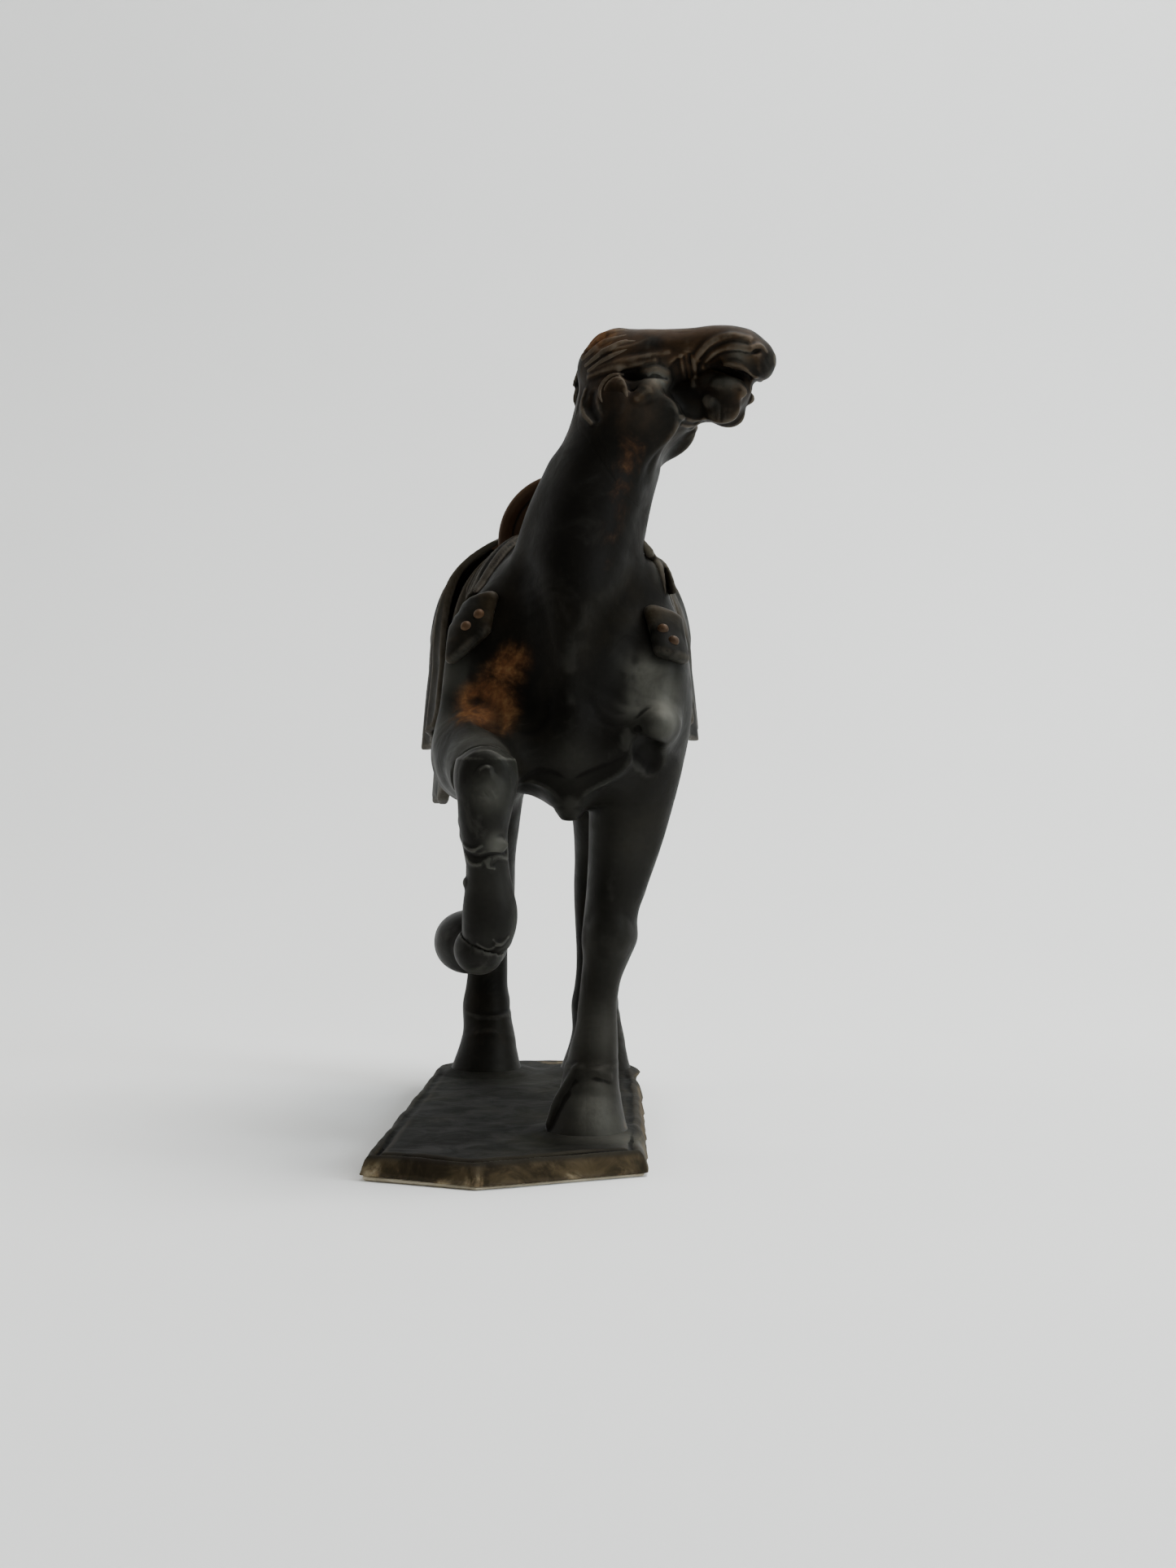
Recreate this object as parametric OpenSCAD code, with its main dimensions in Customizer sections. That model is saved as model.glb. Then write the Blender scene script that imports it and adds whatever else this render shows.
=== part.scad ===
// Saddled horse statuette: a sectional bronze casting that stands on a slab base.
// The horse faces -Y, its left side is +X, and the underside of the base lies on Z = 0.

/* [Base] */
// Length of the slab along the horse
base_length = 226; // [222:1:240]
// Width of the slab across the horse
base_width = 82; // [80:1:90]
// Thickness of the cast slab
slab_thickness = 7; // [6:0.5:8]
// Thickness of the pad glued under the slab
pad_thickness = 1; // [0.8:0.1:2]

/* [Casting] */
// Wall of the hollow torso and neck castings
wall = 3; // [2.5:0.1:4]
// Depth of the neck's collar inside the torso
collar_depth = 6; // [4:0.5:8]
// Gap between parts that slip together
slip_gap = 0.2; // [0.1:0.05:0.4]

/* [Joints] */
// Radius of the dowels that hold the legs
dowel_radius = 2; // [1.5:0.1:2.5]
// Length of each dowel
dowel_length = 16; // [12:1:18]
// Radius of the pins through the neck collar and the saddle
pin_radius = 1.2; // [1:0.1:1.5]
// Shank radius of the screws that rise through the slab into the hooves
screw_radius = 1.5; // [1.25:0.25:1.75]
// Length of a screw's shank
screw_length = 14; // [12:1:15]

/* [Saddle] */
// Thickness of the blanket on the horse's back
blanket_thickness = 2.4; // [2:0.1:3]
// Thickness of the padded seat
seat_thickness = 5; // [4:0.5:6]
// Thickness of the pleated cloths
cloth_thickness = 1.8; // [1.5:0.1:2.5]
// Height of the pleats
pleat_depth = 0.9; // [0.4:0.1:1]
// Thickness of the pommel and cantle boards
board_thickness = 3; // [2.5:0.5:4]

/* [Hidden] */

bronze = "#35302b";
worn_bronze = "#5a3f28";
grey_bronze = "#5c5c52";
steel = "#8c8c88";
felt = "#cfc6ae";

ground = slab_thickness + pad_thickness;
sliver = 0.01;
sides = 24;

// ---------- shared shapes ----------

// A section is [top point, bottom point, half width, yaw]: an oval that stands on the line
// between its two points, with its width along X turned by yaw.
function section_up(s) = (s[0] - s[1]) / norm(s[0] - s[1]);
function section_side(s) = [cos(s[3]), sin(s[3]), 0];
function section_height(s) = norm(s[0] - s[1]) / 2;

// The point at angle a round a section, grown outward; 0 is the side, 90 is the top.
function section_point(s, a, grow = 0) =
    let (squareness = 0.92)
    (s[0] + s[1]) / 2
    + section_side(s) * (s[2] + grow) * sign(cos(a)) * pow(abs(cos(a)), squareness)
    + section_up(s) * (section_height(s) + grow) * sign(sin(a)) * pow(abs(sin(a)), squareness);

function ring(s, grow = 0) = [for (i = [0 : sides - 1]) section_point(s, 360 * i / sides, grow)];
function rings(sections, grow = 0) = [for (s = sections) ring(s, grow)];
function reversed(list) = [for (i = [len(list) - 1 : -1 : 0]) list[i]];

// A solid through a row of rings that all have the same number of points.
module loft(rows) {
    n = len(rows[0]);
    m = len(rows);
    polyhedron(
        points = [for (r = rows) each r],
        faces = concat(
            [[for (i = [0 : n - 1]) i]],
            [for (j = [0 : m - 2], i = [0 : n - 1])
                [j * n + i, (j + 1) * n + i, j * n + (i + 1) % n]],
            [for (j = [0 : m - 2], i = [0 : n - 1])
                [j * n + (i + 1) % n, (j + 1) * n + i, (j + 1) * n + (i + 1) % n]],
            [[for (i = [n - 1 : -1 : 0]) (m - 1) * n + i]]
        ),
        convexity = 10
    );
}

// A rod from point a to point b.
module rod(a, b, r) {
    d = b - a;
    translate(a)
        rotate([0, acos(d[2] / norm(d)), atan2(d[1], d[0])])
            cylinder(r = r, h = norm(d), $fn = 48);
}

// A dowel's two ends, half its length each side of a point.
function dowel(middle, direction) =
    let (half = direction / norm(direction) * dowel_length / 2)
    [middle - half, middle + half];

// Casts its children as one skin.
module cast() {
    resize([0, 0, 0])
        union()
            children();
}

module ball(p, r) {
    translate(p)
        sphere(r = r, $fn = 20);
}

// ---------- base ----------

// Corners of the irregular slab, from the blunt point at its front round the horse's left side.
front = -base_length / 2;
back = base_length / 2;
half = base_width / 2;
base_corners = [
    [-8, front], [half - 1, front + 22], [half + 1, 56], [half - 3, back - 10],
    [half - 9, back], [15 - half, back], [8 - half, back - 16], [-half, front + 15]
];

module base_outline(inset = 0) {
    offset(r = 2.5, $fn = 32)
        offset(delta = -2.5 - inset)
            polygon(base_corners);
}

screw_places = [[22.5, -58], [26, 80], [-15, 80]];
screw_head_radius = 2.8;
screw_head_height = 1.9;
screw_key_radius = 1.3;
washer_thickness = 0.5;
washer_radius = 3.3;
counterbore_radius = 3.6;
counterbore_depth = screw_head_height + washer_thickness + 0.3;
washer_height = pad_thickness + counterbore_depth - washer_thickness;

module base_pad() {
    color(felt)
        linear_extrude(pad_thickness)
            base_outline(0.4);
}

// The slab's rim is bevelled above and its screws are sunk from beneath.
module base_slab() {
    bevel = 1.6;
    color(bronze)
        difference() {
            union() {
                translate([0, 0, pad_thickness])
                    linear_extrude(slab_thickness - bevel)
                        base_outline();
                translate([0, 0, ground - bevel - sliver])
                    linear_extrude(bevel + sliver)
                        base_outline(0.8);
            }
            for (p = screw_places) {
                translate([p[0], p[1], 0])
                    cylinder(r = screw_radius + slip_gap, h = ground + 1, $fn = 48);
                translate([p[0], p[1], 0])
                    cylinder(r = counterbore_radius, h = pad_thickness + counterbore_depth, $fn = 48);
            }
        }
}

module base_screws() {
    color(steel)
        for (p = screw_places)
            translate([p[0], p[1], washer_height])
                difference() {
                    union() {
                        translate([0, 0, -screw_head_height])
                            cylinder(r = screw_head_radius, h = screw_head_height, $fn = 48);
                        cylinder(r = screw_radius, h = screw_length, $fn = 48);
                    }
                    translate([0, 0, -screw_head_height - 1])
                        cylinder(r = screw_key_radius, h = 2.1, $fn = 6);
                }
}

module base_washers() {
    color(steel)
        for (p = screw_places)
            translate([p[0], p[1], washer_height])
                difference() {
                    cylinder(r = washer_radius, h = washer_thickness, $fn = 48);
                    translate([0, 0, -1])
                        cylinder(r = screw_radius + 0.1, h = washer_thickness + 2, $fn = 48);
                }
}

// ---------- torso ----------

// The horse's centre plane drifts sideways a little from chest to rump.
function axis_x(y) = 14.5 - 0.045 * y;

back_line = [[-34, 207], [-18, 194], [0, 190], [25, 192], [50, 199], [70, 204]];
belly_line = [[-34, 108], [-18, 109], [0, 110], [25, 111], [50, 112], [70, 113]];
width_line = [[-18, 36], [0, 37], [25, 38], [50, 39.5], [70, 40]];

// An upright section of the barrel at y.
function barrel(y) = [
    [axis_x(y), y, lookup(y, back_line)],
    [axis_x(y), y, lookup(y, belly_line)],
    lookup(y, width_line),
    0
];

torso_sections = [
    [[9.8, 106, 152], [9.8, 105, 136], 6, 0],
    [[9.8, 103, 176], [10, 99, 122], 25, 0],
    [[10.4, 90, 197], [10.5, 86, 115], 36, 0],
    barrel(70),
    barrel(50),
    barrel(25),
    barrel(0),
    barrel(-18),
    [[16.5, -26, 199], [16.5, -44, 109], 35, 0],
    [[17.2, -32, 204], [17.6, -77, 104], 33, 0]
];

// The joint between the torso and the neck castings.
neck_joint = [[18.5, -36, 208], [20, -86, 142], 26, 0];
neck_joint_middle = (neck_joint[0] + neck_joint[1]) / 2;
into_torso = [0, section_up(neck_joint)[2], -section_up(neck_joint)[1]];

function shifted(s, move, grow) = [
    s[0] + move + section_up(s) * grow,
    s[1] + move - section_up(s) * grow,
    s[2] + grow,
    s[3]
];

collar_hole = [
    shifted(neck_joint, into_torso * (collar_depth + slip_gap), -wall),
    shifted(neck_joint, -into_torso, -wall)
];

// Pins cross the collar from each side of the neck.
neck_pin_length = 7;
neck_pins_at = [for (side = [-1, 1])
    let (middle = neck_joint_middle + into_torso * 3 + [side * 21.5, 0, 0])
    [middle - [side * neck_pin_length / 2, 0, 0], middle + [side * neck_pin_length / 2, 0, 0]]];

// The legs meet the torso on flat joints.
leg_joint_height = 108;
foreleg_joint = [[38, -68, leg_joint_height], [38, -34, leg_joint_height], 13, 0];
hindleg_left_joint = [[30, 50, leg_joint_height], [30, 90, leg_joint_height], 14, 0];
hindleg_right_joint = [[-12, 50, leg_joint_height], [-12, 90, leg_joint_height], 14, 0];
forearm_joint = [[-11, -62, 138], [-11, -62, 107], 14.5, 0];

function section_middle(s) = (s[0] + s[1]) / 2;

leg_dowels_at = [for (s = [foreleg_joint, hindleg_left_joint, hindleg_right_joint])
    dowel(section_middle(s), [0, 0, 1])];

// The stump that carries a leg runs from a muscle's ball to the leg's joint.
module stump(joint, muscle, r, thickness) {
    hull() {
        ball(muscle, r);
        loft([ring(shifted(joint, thickness, 0)), ring(joint)]);
    }
}

module torso_muscles() {
    for (side = [-1, 1]) {
        hull() {
            ball([17 + side * 20, -48, 158], 14);
            ball([18 + side * 20, -60, 132], 14);
        }
        hull() {
            ball([11 + side * 23, 76, 170], 18);
            ball([11 + side * 23, 84, 142], 18);
            ball([10 + side * 22, 68, 130], 18);
        }
    }
    stump(foreleg_joint, [38, -50, 134], 14, [0, 0, 3]);
    stump(hindleg_left_joint, [31, 72, 130], 16, [0, 0, 3]);
    stump(hindleg_right_joint, [-11, 72, 130], 16, [0, 0, 3]);
    stump(forearm_joint, [-6, -48, 132], 14, [0, 3, 0]);
}

// The torso's whole outer shape, without its hollow.
module torso_body() {
    loft(rings(concat(torso_sections, [neck_joint])));
    torso_muscles();
}

module torso() {
    inner = [for (i = [1 : len(torso_sections) - 1]) ring(torso_sections[i], -wall)];
    color(bronze)
        difference() {
            cast()
                difference() {
                    torso_body();
                    loft(rings(collar_hole));
                    loft(concat(inner, [ring(neck_joint, -2 * wall)]));
                    loft(rings(foreleg_sections));
                    loft(rings(hindleg_left_sections));
                    loft(rings(hindleg_right_sections));
                    loft(rings(forearm_sections));
                }
            for (d = concat(leg_dowels_at, [raised_leg_dowels_at[0]]))
                rod(d[0], d[1], dowel_radius);
            for (p = neck_pins_at)
                rod(p[0], p[1], pin_radius);
            for (p = saddle_pins_at)
                rod(p[0], p[1], pin_radius);
        }
}

// ---------- neck ----------

// The head is turned to the horse's left: a runs along the face from the poll, z is up.
head_yaw = 74;
poll = [20, -55];
function face(a, z) = [poll[0] + a * sin(head_yaw), poll[1] - a * cos(head_yaw), z];

neck_sections = [
    neck_joint,
    [[19, -40, 218], [22.5, -88, 164], 21, 4],
    [[20, -44, 228], [27, -87, 183], 19, 12],
    [[19.5, -48, 235], [33, -83, 197], 17.5, 27],
    [[19.5, -52, 240], [39, -75, 206], 15.5, 50]
];
head_joint = [face(0, 244), face(24, 209), 13, head_yaw];

head_dowel_radius = 4;
head_dowel_at = [face(6, 222.5), face(18.6, 231)];

module neck_body() {
    loft(rings(concat(neck_sections, [head_joint])));
}

// The neck is hollow up to its third section and ends below in a collar.
module neck() {
    collar = [
        shifted(neck_joint, into_torso * collar_depth, -wall - slip_gap),
        shifted(neck_joint, -into_torso, -wall - slip_gap)
    ];
    hollow = [
        shifted(neck_joint, into_torso * (collar_depth + 1), -2 * wall),
        shifted(neck_joint, -into_torso, -2 * wall),
        shifted(neck_sections[1], [0, 0, 0], -wall - 1),
        shifted(neck_sections[2], [0, 0, 0], -wall - 2)
    ];
    color(bronze)
        difference() {
            cast()
                difference() {
                    union() {
                        neck_body();
                        loft(rings(collar));
                    }
                    loft(rings(hollow));
                }
            rod(head_dowel_at[0], head_dowel_at[1] + [8, 0, 5], head_dowel_radius + slip_gap);
            for (p = neck_pins_at)
                rod(p[0], p[1], pin_radius);
        }
}

module neck_pins() {
    color(steel)
        for (p = neck_pins_at)
            rod(p[0], p[1], pin_radius);
}

// ---------- head ----------

// Rows of [a and z of the forehead line, a and z of the jaw line, half width].
head_lines = [
    [0, 244, 24, 209, 13],
    [3, 247, 28, 210, 14],
    [10, 250, 31, 212, 13.5],
    [20, 251.5, 34, 216, 12],
    [30, 250, 38, 221, 10.5],
    [40, 250.5, 42, 221, 9.5],
    [48, 251, 47, 221, 9.5],
    [55, 249.5, 53, 224, 9],
    [61, 245, 58, 231, 6]
];
gape = [[41, 238], [66, 243], [66, 226], [58, 230]];

module head_body() {
    loft(rings([for (l = head_lines) [face(l[0], l[1]), face(l[2], l[3]), l[4], head_yaw]]));
}

// The mouth is a wedge cut right through the muzzle.
module head() {
    color(worn_bronze)
        union() {
            cast()
                difference() {
                    head_body();
                    translate([poll[0], poll[1], 0])
                        rotate([90, 0, head_yaw - 90])
                            linear_extrude(40, center = true)
                                polygon(gape);
                }
            rod(head_dowel_at[0], head_dowel_at[1], head_dowel_radius);
        }
}

// An ear is laid back along the side of the skull.
module ear(side) {
    out = [cos(head_yaw), sin(head_yaw), 0] * side;
    color(worn_bronze)
        cast()
            difference() {
                hull() {
                    ball(face(13, 234) + out * 13.5, 4);
                    ball(face(7, 238) + out * 15, 4);
                    ball(face(2, 242) + out * 16.5, 1.4);
                }
                head_body();
                neck_body();
            }
}

module ear_left() {
    ear(1);
}

module ear_right() {
    ear(-1);
}

module forelock() {
    color(worn_bronze)
        cast()
            difference() {
                hull() {
                    ball(face(1, 245), 5);
                    ball(face(12, 249), 4.5);
                    ball(face(23, 251), 2);
                }
                head_body();
                neck_body();
            }
}

// The mane is a ridge along the crest.
module mane() {
    rise = 4;
    color(bronze)
        cast()
            difference() {
                loft(rings([for (i = [1 : len(neck_sections) - 1])
                    let (s = neck_sections[i])
                    [s[0] + section_up(s) * rise, s[0] - section_up(s) * rise, 3.5, s[3]]]));
                neck_body();
                forelock_and_head();
            }
}

module forelock_and_head() {
    head_body();
    hull() {
        ball(face(1, 245), 5);
        ball(face(12, 249), 4.5);
    }
}

// ---------- tail ----------

module tail() {
    color(bronze)
        cast()
            difference() {
                union() {
                    hull() {
                        ball([10, 99, 178], 5);
                        ball([10, 106, 174], 6);
                    }
                    hull() {
                        ball([10, 106, 174], 6);
                        ball([10, 107, 158], 6);
                    }
                    hull() {
                        ball([10, 107, 158], 6);
                        ball([10, 109, 138], 3);
                    }
                }
                torso_body();
            }
}

// ---------- legs ----------

// A level section of a leg: centre, half width and half length.
function leg(c, across, along) = [c - [0, along, 0], c + [0, along, 0], across, 0];

foreleg_sections = [
    foreleg_joint,
    leg([34.5, -51, 96], 10.5, 13.5),
    leg([31.5, -51, 82], 8.5, 10.5),
    leg([30, -52, 73], 8, 8.8),
    leg([29.5, -53, 66], 8.5, 9.4),
    leg([28.3, -52, 59], 7, 7.6),
    leg([26.5, -52, 50], 6.2, 7),
    leg([25, -53, 39], 6.3, 7.2),
    leg([25, -55, 31], 7.6, 9),
    leg([24.6, -57, 26], 7.4, 9),
    leg([24, -58, 23], 9, 11),
    leg([22.8, -60, ground], 11, 14.5)
];

// A hind leg's sections, with its hoof's centre at x and its top at the joint.
function hindleg_sections(joint, x, lean) = [
    joint,
    leg([x + 3 * lean, 76, 97], 11.5, 17),
    leg([x + 1.5 * lean, 84, 85], 10, 14),
    leg([x, 90, 73], 9.2, 11.5),
    leg([x, 90, 61], 7.8, 8.8),
    leg([x, 87, 45], 7.6, 8),
    leg([x, 86, 34], 8, 9),
    leg([x, 84, 27], 8.2, 9.5),
    leg([x, 82, 23], 10, 12),
    leg([x, 79, ground], 12, 15)
];
hindleg_left_sections = hindleg_sections(hindleg_left_joint, 26, 1);
hindleg_right_sections = hindleg_sections(hindleg_right_joint, -15, 1);

knee_joint = [[-6.5, -107, 126], [-6.5, -93, 108], 9, 0];
hoof_joint = [[-9, -108, 69], [-9, -94, 70], 7.8, 0];

forearm_sections = [
    forearm_joint,
    [[-10, -76, 135], [-9.5, -76, 108], 12.5, 0],
    [[-8, -92, 131], [-8, -87, 109], 10, 0],
    knee_joint
];
cannon_sections = [
    knee_joint,
    [[-6, -112.5, 115], [-6, -96, 105], 8.8, 0],
    [[-6, -112, 104], [-6, -97, 100], 7.6, 0],
    [[-6.2, -109.5, 91], [-6.2, -97, 91], 6.4, 0],
    [[-7.5, -109, 79], [-7.5, -96, 79], 6.8, 0],
    [[-8.5, -110, 73], [-8.5, -94.5, 73.5], 8, 0],
    hoof_joint
];
raised_hoof_sections = [
    hoof_joint,
    [[-10, -104, 61], [-9, -91, 71], 8.5, 0],
    [[-11, -93, 59], [-10.5, -86, 73], 10.2, 0],
    [[-12, -80, 60.5], [-11.5, -77, 75], 10.5, 0]
];

// The way along a leg at one of its joints.
function along(s) = [0, -section_up(s)[2], section_up(s)[1]];

raised_leg_dowels_at = [
    dowel(section_middle(forearm_joint), along(forearm_joint)),
    dowel(section_middle(knee_joint), along(knee_joint)),
    dowel(section_middle(hoof_joint), along(hoof_joint))
];

module dowelled(dowels) {
    difference() {
        cast()
            children();
        for (d = dowels)
            rod(d[0], d[1], dowel_radius);
    }
}

module screwed(place) {
    difference() {
        children();
        translate([place[0], place[1], ground - 1])
            cylinder(r = screw_radius, h = washer_height + screw_length - ground + 1, $fn = 48);
    }
}

module foreleg_left() {
    color(bronze)
        screwed(screw_places[0])
            dowelled([leg_dowels_at[0]])
                loft(rings(foreleg_sections));
}

module hindleg_left() {
    color(bronze)
        screwed(screw_places[1])
            dowelled([leg_dowels_at[1]])
                loft(rings(hindleg_left_sections));
}

module hindleg_right() {
    color(bronze)
        screwed(screw_places[2])
            dowelled([leg_dowels_at[2]])
                loft(rings(hindleg_right_sections));
}

module foreleg_right_forearm() {
    color(bronze)
        dowelled([raised_leg_dowels_at[0], raised_leg_dowels_at[1]])
            loft(rings(forearm_sections));
}

module foreleg_right_cannon() {
    color(grey_bronze)
        dowelled([raised_leg_dowels_at[1], raised_leg_dowels_at[2]])
            loft(rings(cannon_sections));
}

module foreleg_right_hoof() {
    color(grey_bronze)
        dowelled([raised_leg_dowels_at[2]])
            loft(rings(raised_hoof_sections));
}

module leg_dowels() {
    color(steel)
        for (d = leg_dowels_at)
            rod(d[0], d[1], dowel_radius);
}

module raised_leg_dowels() {
    color(steel)
        for (d = raised_leg_dowels_at)
            rod(d[0], d[1], dowel_radius);
}

// ---------- saddle ----------

pommel_y = -33;
cantle_y = 37;
drape_steps = 26;

// The point of a draped sheet at t across a section: 0 is the top, 1 and -1 are the sides,
// and past them the sheet hangs straight, spreading by flare over its drop.
function drape_point(s, t, grow, drop, flare) =
    section_point(s, abs(t) <= 1 ? 90 - 90 * t : 90 - 90 * sign(t), grow)
    + [sign(t) * flare, 0, -drop] * max(0, abs(t) - 1);

// A sheet's open section: its outer side from one edge to the other, and its inner side back.
function drape(s, reach, inner, outer, drop = 0, flare = 0) = concat(
    [for (i = [0 : drape_steps])
        let (t = reach * (1 - 2 * i / drape_steps))
        drape_point(s, t, outer(t), drop, flare)],
    [for (i = [drape_steps : -1 : 0])
        let (t = reach * (1 - 2 * i / drape_steps))
        drape_point(s, t, inner(t), drop, flare)]
);

module saddle_blanket() {
    drop = 40;
    flare = 4;
    color(bronze)
        cast()
            difference() {
                loft([for (y = [46, 25, 0, -18, pommel_y - 0.5])
                    drape(barrel(y), y < -20 ? 1.3 : 2,
                        function (t) 0, function (t) blanket_thickness, drop, flare)]);
                torso_body();
                saddle_pin_holes();
            }
}

module saddle_seat() {
    color(worn_bronze)
        cast()
            difference() {
                loft([for (y = [cantle_y, 25, 0, -18, pommel_y + board_thickness])
                    drape(barrel(y), 0.5,
                        function (t) blanket_thickness,
                        function (t) blanket_thickness + seat_thickness)]);
                saddle_pin_holes();
            }
}

// A board across the back, cut to sit on the blanket.
module arch_board(y, radius, top) {
    height_ratio = 1.2;
    base = top - radius * height_ratio;
    color(worn_bronze)
        cast()
            difference() {
                translate([axis_x(y), y + board_thickness, base])
                    rotate([90, 0, 0])
                        linear_extrude(board_thickness)
                            scale([1, height_ratio])
                                circle(r = radius, $fn = 64);
                loft(rings([barrel(y + 10), barrel(y - 1)], blanket_thickness));
            }
}

module saddle_pommel() {
    arch_board(pommel_y, 24, 218);
}

module saddle_cantle() {
    arch_board(cantle_y, 21, 213);
}

saddle_pins_at = [for (y = [-10, 25])
    [[axis_x(y), y, lookup(y, back_line) - 5], [axis_x(y), y, lookup(y, back_line) + 6]]];

module saddle_pin_holes() {
    for (p = saddle_pins_at)
        rod(p[0], p[1], pin_radius);
}

module saddle_pins() {
    color(steel)
        saddle_pin_holes();
}

// The cloth lies over the seat and hangs in slanting pleats on both sides.
module saddle_cloth() {
    rows = 28;
    pleat_spacing = 9.6;
    pleat_slant = 14;
    drop = 18;
    flare = 6;
    function under(t) = blanket_thickness + seat_thickness * max(0, min(1, (0.8 - abs(t)) / 0.2));
    function pleat(t, y) =
        pleat_depth * min(1, abs(t)) * (1 + cos(360 * (y - pleat_slant * abs(t)) / pleat_spacing));
    color(bronze)
        cast()
            loft([for (i = [0 : rows])
                let (y = cantle_y - i * (cantle_y - pommel_y - board_thickness) / rows)
                drape(barrel(y), 2,
                    function (t) under(t) + pleat(t, y),
                    function (t) under(t) + pleat(t, y) + cloth_thickness,
                    drop, flare)]);
}

function between(a, b, f) = [for (i = [0 : 3]) a[i] * (1 - f) + b[i] * f];

// A pleated apron wraps the foot of the neck in front of the pommel.
module withers_cloth() {
    pleats = 16;
    reach = 0.68;
    clearance = 0.6;
    shoulder_section = torso_sections[len(torso_sections) - 1];
    apron_sections = [
        between(shoulder_section, neck_joint, 0.5),
        neck_joint,
        between(neck_joint, neck_sections[1], 0.7)
    ];
    function pleat(t) = clearance + pleat_depth * (1 + cos(360 * pleats * t));
    color(bronze)
        cast()
            loft([for (s = apron_sections)
                drape(s, reach, function (t) clearance, function (t) pleat(t) + cloth_thickness)]);
}

module flap_plate(corners) {
    thickness = 2.6;
    hull()
        for (c = corners)
            ball(c, thickness);
}

// The blanket's upper front corners lie on the shoulders.
module shoulder_flap(corners) {
    color(bronze)
        cast()
            difference() {
                flap_plate(corners);
                torso_body();
            }
}

left_flap_corners = [[36, -61, 166], [48, -58, 160], [51, -61, 148], [43, -72, 146]];
right_flap_corners = [[-1, -61, 168], [-14, -58, 160], [-17, -61, 146], [-8, -73, 144]];
boss_places = [[43.6, -71.2, 161], [46.2, -67, 157.1], [-7.6, -66.3, 162], [-11, -67.7, 157.3]];

module shoulder_flap_left() {
    shoulder_flap(left_flap_corners);
}

module shoulder_flap_right() {
    shoulder_flap(right_flap_corners);
}

// Two round bosses on each shoulder flap.
module shoulder_bosses() {
    boss_radius = 2.2;
    color(worn_bronze)
        cast()
            difference() {
                for (c = boss_places)
                    ball(c, boss_radius);
                torso_body();
                flap_plate(left_flap_corners);
                flap_plate(right_flap_corners);
            }
}

base_pad();
base_slab();
base_screws();
base_washers();
torso();
neck();
neck_pins();
head();
ear_left();
ear_right();
forelock();
mane();
tail();
foreleg_left();
foreleg_right_forearm();
foreleg_right_cannon();
foreleg_right_hoof();
hindleg_left();
hindleg_right();
leg_dowels();
raised_leg_dowels();
saddle_blanket();
saddle_seat();
saddle_pommel();
saddle_cantle();
saddle_pins();
saddle_cloth();
withers_cloth();
shoulder_flap_left();
shoulder_flap_right();
shoulder_bosses();
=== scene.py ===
"""Looks of the saddled horse statuette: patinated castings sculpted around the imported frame.

Each piece is modelled in a block of clay, a regular grid of distances, by adding and carving
soft shapes, and is then meshed. Clay works in millimetres in the frame's own axes: the horse
faces -Y, its left side is +X and the base lies on Z = 0.
"""

import math
from functools import reduce

import bpy
import numpy as np
import openvdb
from mathutils import Euler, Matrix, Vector


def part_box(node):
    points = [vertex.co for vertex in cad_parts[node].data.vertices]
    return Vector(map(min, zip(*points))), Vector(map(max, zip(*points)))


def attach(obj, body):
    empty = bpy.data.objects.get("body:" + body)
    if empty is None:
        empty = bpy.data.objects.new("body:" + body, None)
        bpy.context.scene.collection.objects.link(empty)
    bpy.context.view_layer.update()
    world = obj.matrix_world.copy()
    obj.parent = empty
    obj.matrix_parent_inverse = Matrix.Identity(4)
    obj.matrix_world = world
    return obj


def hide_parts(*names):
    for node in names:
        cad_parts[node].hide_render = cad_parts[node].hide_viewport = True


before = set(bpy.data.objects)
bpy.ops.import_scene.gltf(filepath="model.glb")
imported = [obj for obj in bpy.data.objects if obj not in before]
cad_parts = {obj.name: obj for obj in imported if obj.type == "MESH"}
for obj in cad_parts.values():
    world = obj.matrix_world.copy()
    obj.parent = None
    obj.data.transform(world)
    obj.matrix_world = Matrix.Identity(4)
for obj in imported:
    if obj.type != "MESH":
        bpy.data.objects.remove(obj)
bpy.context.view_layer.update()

MM = 0.001
COARSER = 1.0  # how much wider the clay's grid is made
FAR = 60.0  # the distance that untouched clay holds
REACH = 3.0  # how far round a shape the clay follows it
THINNEST = 0.3  # the least half width of a limb


def cad(node):
    """The lowest and highest corners of a CAD node, in mm."""
    low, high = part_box(node)
    return np.array(low) / MM, np.array(high) / MM


# ---------- clay ----------

def smooth_min(a, b, blend):
    if blend <= 0:
        return np.minimum(a, b)
    h = np.maximum(blend - np.abs(a - b), 0) / blend
    return np.minimum(a, b) - h * h * blend / 4


def smooth_max(a, b, blend):
    return -smooth_min(-a, -b, blend)


class Shape:
    """A distance function and the box outside which it can't be negative."""

    def __init__(self, low, high, distance):
        self.low = np.array(low, float)
        self.high = np.array(high, float)
        self.distance = distance


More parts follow.
